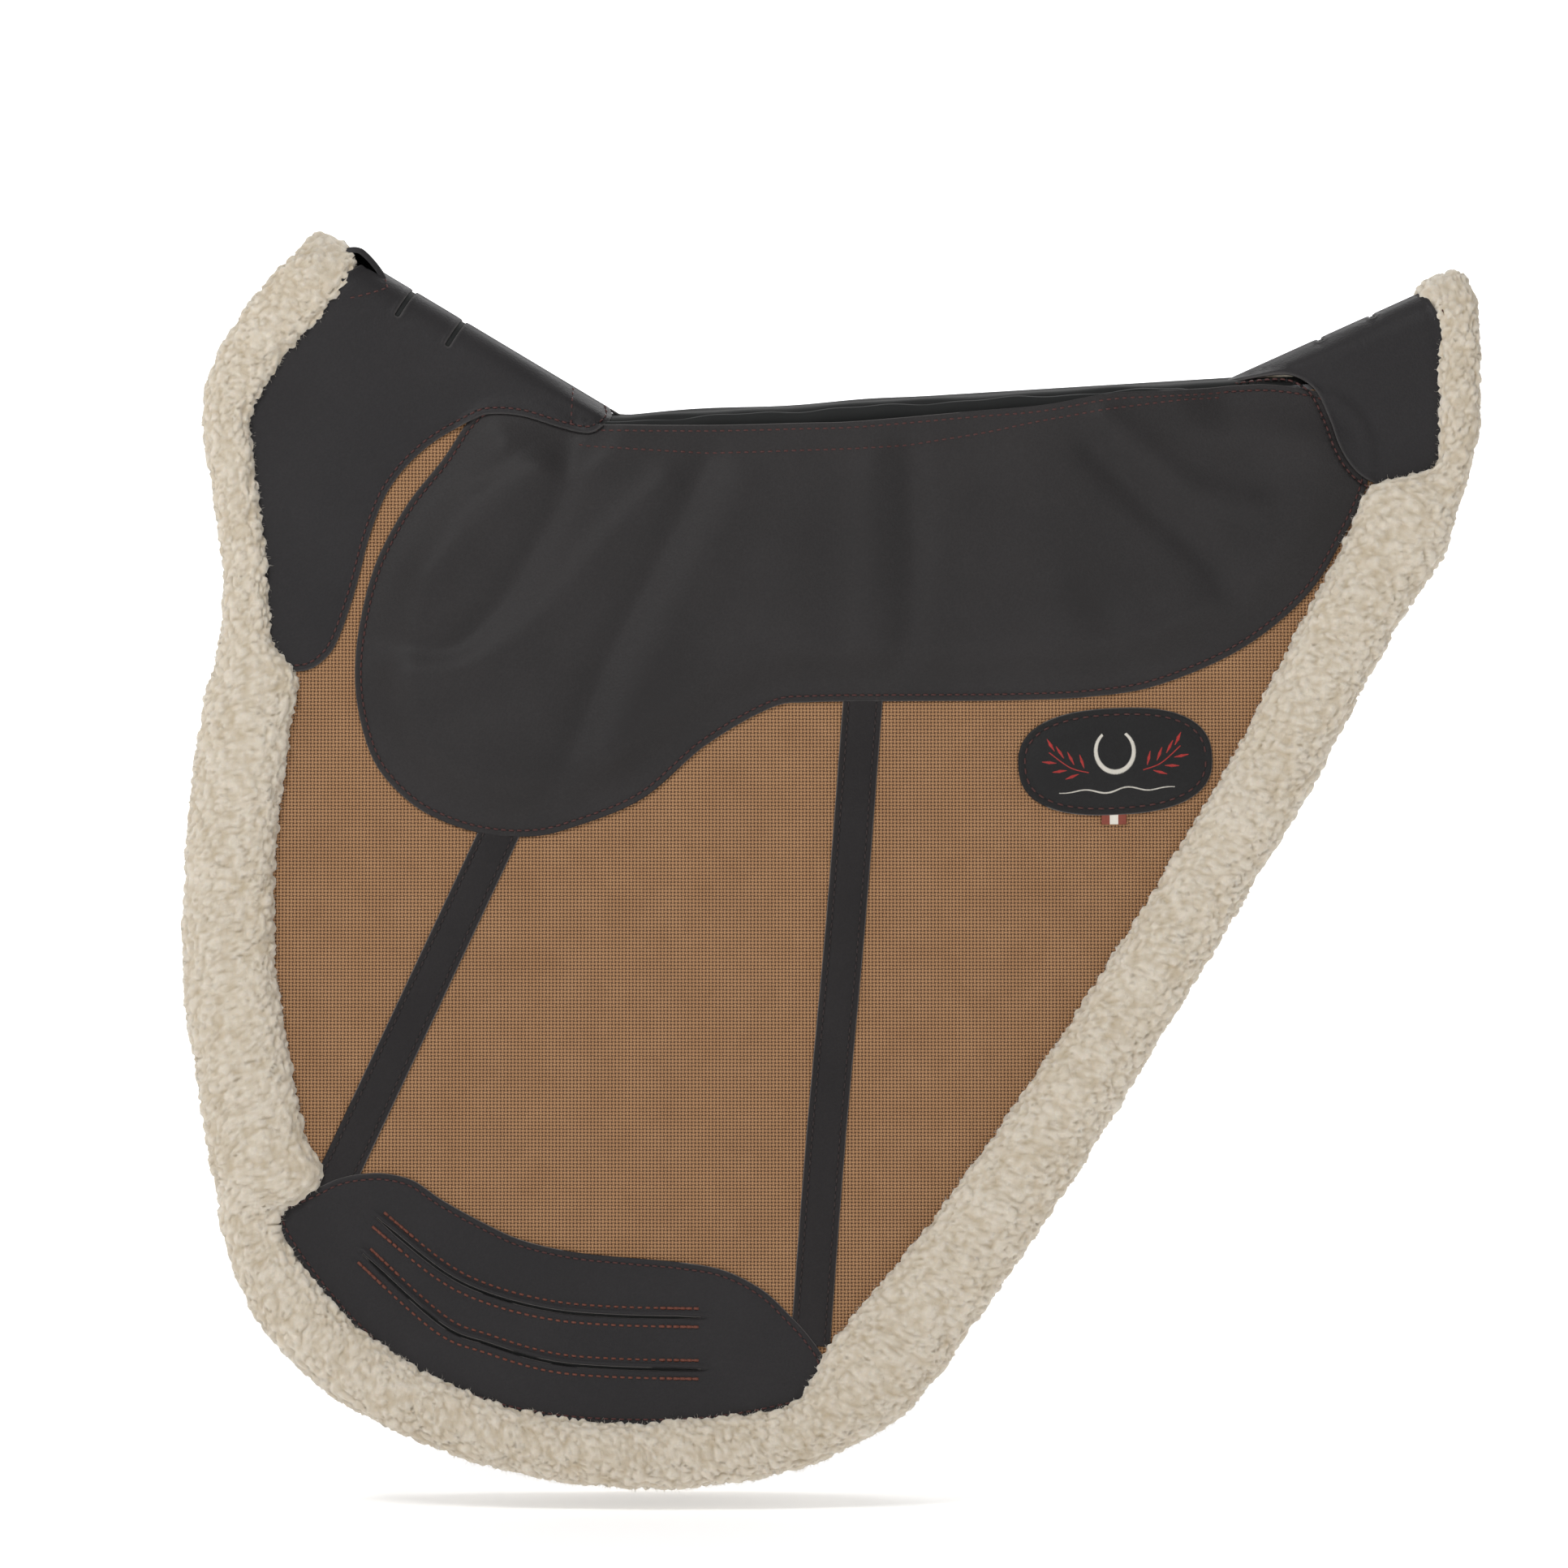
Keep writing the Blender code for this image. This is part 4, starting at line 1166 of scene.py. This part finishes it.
def oval(inset, count=240, power=2.5):
    a = np.linspace(0, 2 * np.pi, count, endpoint=False)
    across = (BADGE_HALF[0] - inset) * np.sign(np.cos(a)) * np.abs(np.cos(a)) ** (2 / power)
    up = (BADGE_HALF[1] - inset) * np.sign(np.sin(a)) * np.abs(np.sin(a)) ** (2 / power)
    line = on_badge(across, up)
    return evenly(np.vstack([line, line[:1]]), 2.0)[:-1]


def crown(flat, edge):
    return 0.9 * ease((edge - 3.4) / 9)


sewn_on("badge", oval(0), badge_leather, "badge_leather", BADGE_LEATHER, ("badge",),
        extra=crown, inset=3.4)

stripes = Finish("striped_ribbon", 0.8)
split = stripes.node("SeparateXYZ", {}, {"Vector": stripes.place})
TAG_LOW, TAG_HIGH = 134 * MM, 146.5 * MM
share = (split - (TAG_LOW + TAG_HIGH) / 2).size() / (TAG_HIGH - TAG_LOW)
ribs = ((split / (0.5 * MM)).cosine() * 0.5 + 0.5)
stripes.set("Base Color", stripes.mix(share > 0.17, (0.72, 0.68, 0.60), (0.22, 0.05, 0.03)))
stripes.set("Normal", stripes.bump(ribs, 0.0001))
tag = np.array([(134, -211.8), (146.5, -211.8), (146.5, -204), (134, -204), (134, -211.8)], float)
flat, triangles, edge = cut_sheet(evenly(tag, 1.0)[:-1], 2.0, rings=(0.4, 0.9))
fold_over = 0.5 * np.exp(-((flat[:, 1] + 211.8) / 1.2) ** 2)
both_sides("badge_tag",
           *thick_sheet(triangles,
                        stand(flat[:, 0], cloth_depth(flat) + 1.0 + fold_over
                              - rounded(edge, 0.5), flat[:, 1]),
                        stand(flat[:, 0], cloth_depth(flat) + 0.1, flat[:, 1])),
           stripes.material, "woven_tag", stands_for=("badge_tag",))

# %% [markdown]
# ## Stitches
#
# Every seam is a row of real stitches. One stitch is a short tube that rises out of the leather,
# runs along and dips in again. The same tubes laid side by side make satin embroidery.

# %% Threads, rows and satin
THREAD_SIDES = 6
THREAD_SHAPE = ((0.0, -0.55, 0.7), (0.12, 0.0, 1.0), (0.35, 0.30, 1.05), (0.65, 0.30, 1.05),
                (0.88, 0.0, 1.0), (1.0, -0.55, 0.7))  # along, lift, thickness


def threads(starts, ends, surface, thickness=0.44, flat_lift=None):
    """Short tubes from each start to its end, over a surface that takes flat places and lift."""
    count, rings = len(starts), len(THREAD_SHAPE)
    places = [starts + (ends - starts) * along for along, _, _ in THREAD_SHAPE]
    lifts = [np.full(count, lift * thickness * 2 if flat_lift is None else flat_lift - thickness)
             for _, lift, _ in THREAD_SHAPE]
    flat, lift = np.vstack(places), np.concatenate(lifts)
    centre, above = surface(flat, lift), surface(flat, lift + 0.5)
    up = above - centre
    up /= np.linalg.norm(up, axis=1)[:, None]
    way = np.tile(centre[-count:] - centre[:count], (rings, 1))
    way /= np.maximum(np.linalg.norm(way, axis=1), 1e-9)[:, None]
    side = np.cross(way, up)
    width = np.repeat([w for _, _, w in THREAD_SHAPE], count)[:, None] * thickness
    turns = [2 * math.pi * k / THREAD_SIDES for k in range(THREAD_SIDES)]
    ring = np.stack([centre + (up * math.cos(a) + side * math.sin(a)) * width for a in turns], 1)
    tube = ring.reshape(rings, count, THREAD_SIDES, 3).transpose(1, 0, 2, 3).reshape(-1, 3)
    one = grid_faces(rings, THREAD_SIDES)
    one += [list(range(THREAD_SIDES))[::-1],
            list(range((rings - 1) * THREAD_SIDES, rings * THREAD_SIDES))]
    step = rings * THREAD_SIDES
    faces = (np.array(one[:-2])[None] + (np.arange(count) * step)[:, None, None]).reshape(-1, 4)
    faces = faces.tolist()
    faces += [[v + i * step for v in cap] for i in range(count) for cap in one[-2:]]
    return tube, faces


PITCH = 4.0


def row(line, pitch=PITCH, share=0.68):
    """Starts and ends of the stitches in a row along a line."""
    line = evenly(np.asarray(line, float), 0.4)
    run = np.arange(len(line)) * 0.4
    count = int(run[-1] // pitch)
    first = (run[-1] - count * pitch) / 2 + pitch * (1 - share) / 2
    start = first + np.arange(count) * pitch
    pick = [np.column_stack([np.interp(at, run, c) for c in line.T])
            for at in (start, start + pitch * share)]
    return pick


def holes(starts, ends, surface, radius=0.85):
    """Near-black tubes sunk where the needle went in, between stitches: painted shade of the
    holes.
    """
    centre = (ends[:-1] + starts[1:]) / 2
    way = starts[1:] - ends[:-1]
    return threads(centre - way * 0.5, centre + way * 0.5, surface, radius, 0.16)


def satin(line, width, spacing=0.5, slant=0.25):
    """Starts and ends of close threads across a line. width is a number or one for each place."""
    line = evenly(line, spacing)
    widths = np.interp(np.linspace(0, 1, len(line)), np.linspace(0, 1, np.size(width)),
                       np.atleast_1d(width))[:, None]
    across = normals_of(line)
    along = np.column_stack([across[:, 1], -across[:, 0]])
    shift = (across + along * slant) * widths / 2
    return line - shift, line + shift


def joined(parts):
    """Several sets of threads as one."""
    places, faces, start = [], [], 0
    for tube, tube_faces in parts:
        places.append(tube)
        faces += [[v + start for v in face] for face in tube_faces]
        start += len(tube)
    return np.vstack(places), faces


def inset(line, distance, closed=False):
    """A line moved to its left by a distance."""
    return line + normals_of(line, closed) * distance


def closed_inset(outline, distance):
    line = inset(outline, distance * turns_left(outline), closed=True)
    return np.vstack([line, line[:1]])


def on_pocket(flat, lift):
    return stand(flat[:, 0], pocket_depth(flat) - 0.3 + lift, flat[:, 1])


def on_leather(thickness, extra=None):
    def surface(flat, lift):
        depth = cloth_depth(flat) + thickness - 0.3 + lift
        if extra:
            depth = depth + extra(flat, None)
        return stand(flat[:, 0], depth, flat[:, 1])
    return surface


# %% Stitched seams
def seam(name, lines, surface, thread, slot, hold="side", pitch=PITCH, share=0.68,
         thickness=0.46):
    """Rows of stitches along lines on one surface, with painted shade at their needle holes."""
    rows = [row(line, pitch, share) for line in lines]
    both_sides(name + "_stitches", *joined([threads(*pair, surface, thickness) for pair in rows]),
               thread, slot, hold)
    both_sides(name + "_holes", *joined([holes(*pair, surface) for pair in rows]), hole_shade_finish,
               slot, hold)


# Near-black finish for the needle holes: painted shade.
hole_shade_finish = plain("needle_hole_shade", (0.004, 0.003, 0.003), 0.9)
MOUTH_ROW = [(-132, -19), (-118, -21.5), (-66, -24.5), (-19, -23.5), (27, -21.5), (70, -15.5),
             (104, -8.5), (139, -2.5), (173, 2), (196, 4.5)]
seam("pocket", [closed_inset(pocket_outline, STITCH_INSET), flowing(MOUTH_ROW, 2.0)], on_pocket,
     red_thread, "pocket_leather")
seam("band", [inset(line, way * (BAND_WIDTH / 2 - 3.0)) for line in band_lines.values()
              for way in (1, -1)], on_leather(BAND_LEATHER), dark_thread, "band_leather")
on_patch = on_leather(PATCH_LEATHER, lips)
seam("patch_edge", [closed_inset(patch_outline, STITCH_INSET)], on_patch, red_thread,
     "cover_leather")

SLIT_ROW = 4.6
slit_rows, tacks = [], []
for line in slit_lines:
    for way in (1, -1):
        beside = evenly(inset(line, way * SLIT_ROW), 0.5)
        slit_rows.append(beside)
        for end in (beside[:44], beside[-44:]):
            tacks.append(threads(*row(end, 3.4, 0.9), on_patch, 0.75))
seam("slit", slit_rows, on_patch, rust_thread, "cover_leather", thickness=0.56)
both_sides("slit_tacks", *joined(tacks), rust_thread, "cover_leather")


def on_badge_face(flat, lift):
    return on_leather(BADGE_LEATHER, lambda flat, edge: crown(flat, nearest(flat, [oval(0)])))(
        flat, lift)


seam("badge", [closed_inset(oval(0), 3.4)], on_badge_face, red_thread, "badge_leather",
     pitch=5.2, share=0.62)

FRONT_SEAM, REAR_SEAM = FRONT_COVER[3:23], REAR_COVER[2:22]
CROSS_SEAM = [(-134, 9.5), (-134, -11)]
PEAK_SEAM = [(-248, 54.5), (-236, 57), (-228, 59.5), (-228, 59.5), (-229.5, 65.5)]
for name, first, others, ridge in (
        ("front_cover", FRONT_SEAM, (CROSS_SEAM, PEAK_SEAM), FRONT_RIDGE),
        ("rear_cover", REAR_SEAM, (), REAR_RIDGE)):
    lines = [evenly(pattern(flowing(points, 1.0), ridge), 1.0) for points in (first, *others)]
    lines[0] = inset(lines[0], STITCH_INSET)
    seam(name, lines, lambda flat, lift: laid(flat, LEATHER - 0.3 + lift, ridge), red_thread,
         "cover_leather", "fold")

# %% [markdown]
# ### Embroidery on the badge
#
# The badge carries a plain horseshoe between two leafy sprigs, over a waved line, in cream and
# red satin stitch.

# %% Horseshoe, sprigs and waved line
a = np.linspace(math.radians(-232), math.radians(52), 60)
shoe = on_badge(9.6 * np.cos(a), 5.2 + 10.6 * np.sin(a))
WIDTHS = (2.2, 3.0, 3.6, 3.9, 3.6, 3.0, 2.2)
waved = np.linspace(-29, 29, 60)
wave = on_badge(waved, -14.5 + 1.3 * np.sin(waved / 3.6) * np.cos(waved / 20))
cream = [threads(*satin(shoe, WIDTHS), on_badge_face, 0.3),
         threads(*satin(wave, (0.8, 1.5, 1.5, 0.8)), on_badge_face, 0.25)]
red = []
for way in (-1, 1):
    stem = flowing(on_badge(way * np.array([14.0, 23.0, 33.0]), np.array([-5.0, -2.0, 6.0])), 1)
    red.append(threads(*satin(stem, 1.1), on_badge_face, 0.25))
    for at, up, turn in ((16, -2.5, 75), (21, -0.5, 66), (26, 3.0, 60), (30.5, 6.8, 62),
                         (19, -5.6, -18), (25, -3.4, -4), (30, 0.6, 8)):
        lean = math.radians(turn)
        steps = np.array([0, 3.4, 6.8])
        leaf = on_badge(way * (at + steps * math.cos(lean)), up + steps * math.sin(lean))
        red.append(threads(*satin(leaf, (0.7, 3.0, 0.7)), on_badge_face, 0.25))
both_sides("badge_horseshoe", *joined(cream), cream_thread, "badge_leather")
both_sides("badge_sprigs", *joined(red), bright_red_thread, "badge_leather")

# %% [markdown]
# ## Loop on the front ridge
#
# At the front end of the ridge the leather is folded back on itself, with a rounded nose to the
# front and a dark crease between its two plies. Its plies fan out a little where they go under
# the cover.

# %% Front loop
LOOP_HALF = 10.0
NOSE = np.array((-244.9, 72.3))
NOSE_RADIUS = 5.2
# x and z seen from the side: the upper ply goes back to the ridge, the lower one under the wool
UPPER_PLY = [(-230.5, 61.0), (-233.6, 67.0), (-237.8, 72.4)]
LOWER_PLY = [(-248.8, 67.0), (-245.5, 62.0), (-240.5, 58.0)]
turn = np.linspace(math.radians(55), math.radians(212), 14)
nose = NOSE + NOSE_RADIUS * np.column_stack([np.cos(turn), np.sin(turn)])
outer = flowing([*UPPER_PLY, *nose, *LOWER_PLY], 0.8)
LOOP_PLY = 4.1
ring = np.vstack([outer, inset(outer, LOOP_PLY * -turns_left(
    np.vstack([outer, [(-232, 60)]])))[::-1]])
edge_in = normals_of(ring, closed=True) * turns_left(ring)
rings = []
for y, pull in ((-1, 1.1), (-0.96, 0.45), (-0.88, 0), (-0.45, 0), (0, 0), (0.45, 0), (0.88, 0),
                (0.96, 0.45), (1, 1.1)):
    flat = ring + edge_in * pull
    pleat = 0.5 * math.sin(5 * y) * np.clip((flat[:, 0] - NOSE[0]) / 8, 0, 1)
    rings.append(np.column_stack([flat[:, 0], np.full(len(flat), y * LOOP_HALF),
                                  flat[:, 1] + pleat]))
places, faces = extruded(rings)
loop = new_piece("front_loop_skin", places, faces)
loop.data.materials.append(cover_leather)
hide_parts("front_loop")
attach(loop, "spine")


# %% [markdown]
# ## Camera, lights and floor
#
# The camera looks straight at the left side from far away. A large soft light comes from high on
# the left, so that folds and stitches cast small soft shadows. The floor is a wide round dish
# that sweeps up into a wall behind the pad and on both sides, and stays flat in front.

# %% Camera, lights and floor
scene = bpy.context.scene
scene.view_settings.view_transform = "Standard"
VIEW_MIDDLE = Vector((-26.2, 0, -191.1)) * MM
VIEW_WIDTH = 792 * MM
FACE_Y = -26 * MM
lens = bpy.data.cameras.new("camera")
lens.lens = 150
lens.sensor_width = 36
camera = bpy.data.objects.new("camera", lens)
distance = VIEW_WIDTH / 2 / (lens.sensor_width / 2 / lens.lens)
camera.location = (VIEW_MIDDLE.x, FACE_Y - distance, VIEW_MIDDLE.z)
camera.rotation_euler = (math.pi / 2, 0, 0)
scene.collection.objects.link(camera)
scene.camera = camera
print("camera", round(distance, 3), "m away")


def area_light(name, place, target, size, power, color=(1, 1, 1)):
    data = bpy.data.lights.new(name, "AREA")
    data.shape = "DISK"
    data.size = size
    data.energy = power
    data.color = color
    lamp = bpy.data.objects.new(name, data)
    lamp.location = place
    lamp.rotation_euler = (Vector(target) - Vector(place)).to_track_quat("-Z", "Y").to_euler()
    scene.collection.objects.link(lamp)


area_light("key", (-1.3, -1.9, 1.9), (0, 0, -0.2), 1.0, 48)
area_light("fill", (1.4, -2.0, 0.3), (0, 0, -0.2), 1.8, 5)
area_light("back", (0.3, 1.4, 1.4), (0, 0, -0.2), 1.2, 16)
world = bpy.data.worlds.new("studio")
scene.world = world
world.use_nodes = True
world.node_tree.nodes["Background"].inputs[0].default_value = (1, 1, 1, 1)
world.node_tree.nodes["Background"].inputs[1].default_value = 0.26

floor_z = cad_box[0].z - 0.012
AROUND = 96
profile = flowing([(0.0001, 0), (3, 0), (6, 0), (7, 0.06), (7.8, 0.5), (8.3, 1.6), (8.4, 5)], 0.05)
angle = np.linspace(0, 2 * np.pi, AROUND, endpoint=False)
wall = ease((0.65 + np.sin(angle)) / 0.4)
far, high = profile[:, 0][:, None], profile[:, 1][:, None]
places = np.stack([far * np.cos(angle), far * np.sin(angle), floor_z + high * wall], -1)
faces = [(i * AROUND + j, (i + 1) * AROUND + j, (i + 1) * AROUND + (j + 1) % AROUND,
          i * AROUND + (j + 1) % AROUND) for i in range(len(profile) - 1) for j in range(AROUND)]
distant = ease((far * np.sin(angle) - 0.9) / 1.8)
floor = new_piece("floor", places.reshape(-1, 3) / MM, faces, {"distant": distant.ravel()})
white = Finish("white_floor", 0.9)
white.set("Base Color", (0.85, 0.85, 0.85, 1))
white.set("Emission Color", white.mix(white.mark("distant"), (0.5, 0.5, 0.5), (1, 1, 1)))
white.set("Emission Strength", 0.84)
floor.data.materials.append(white.material)
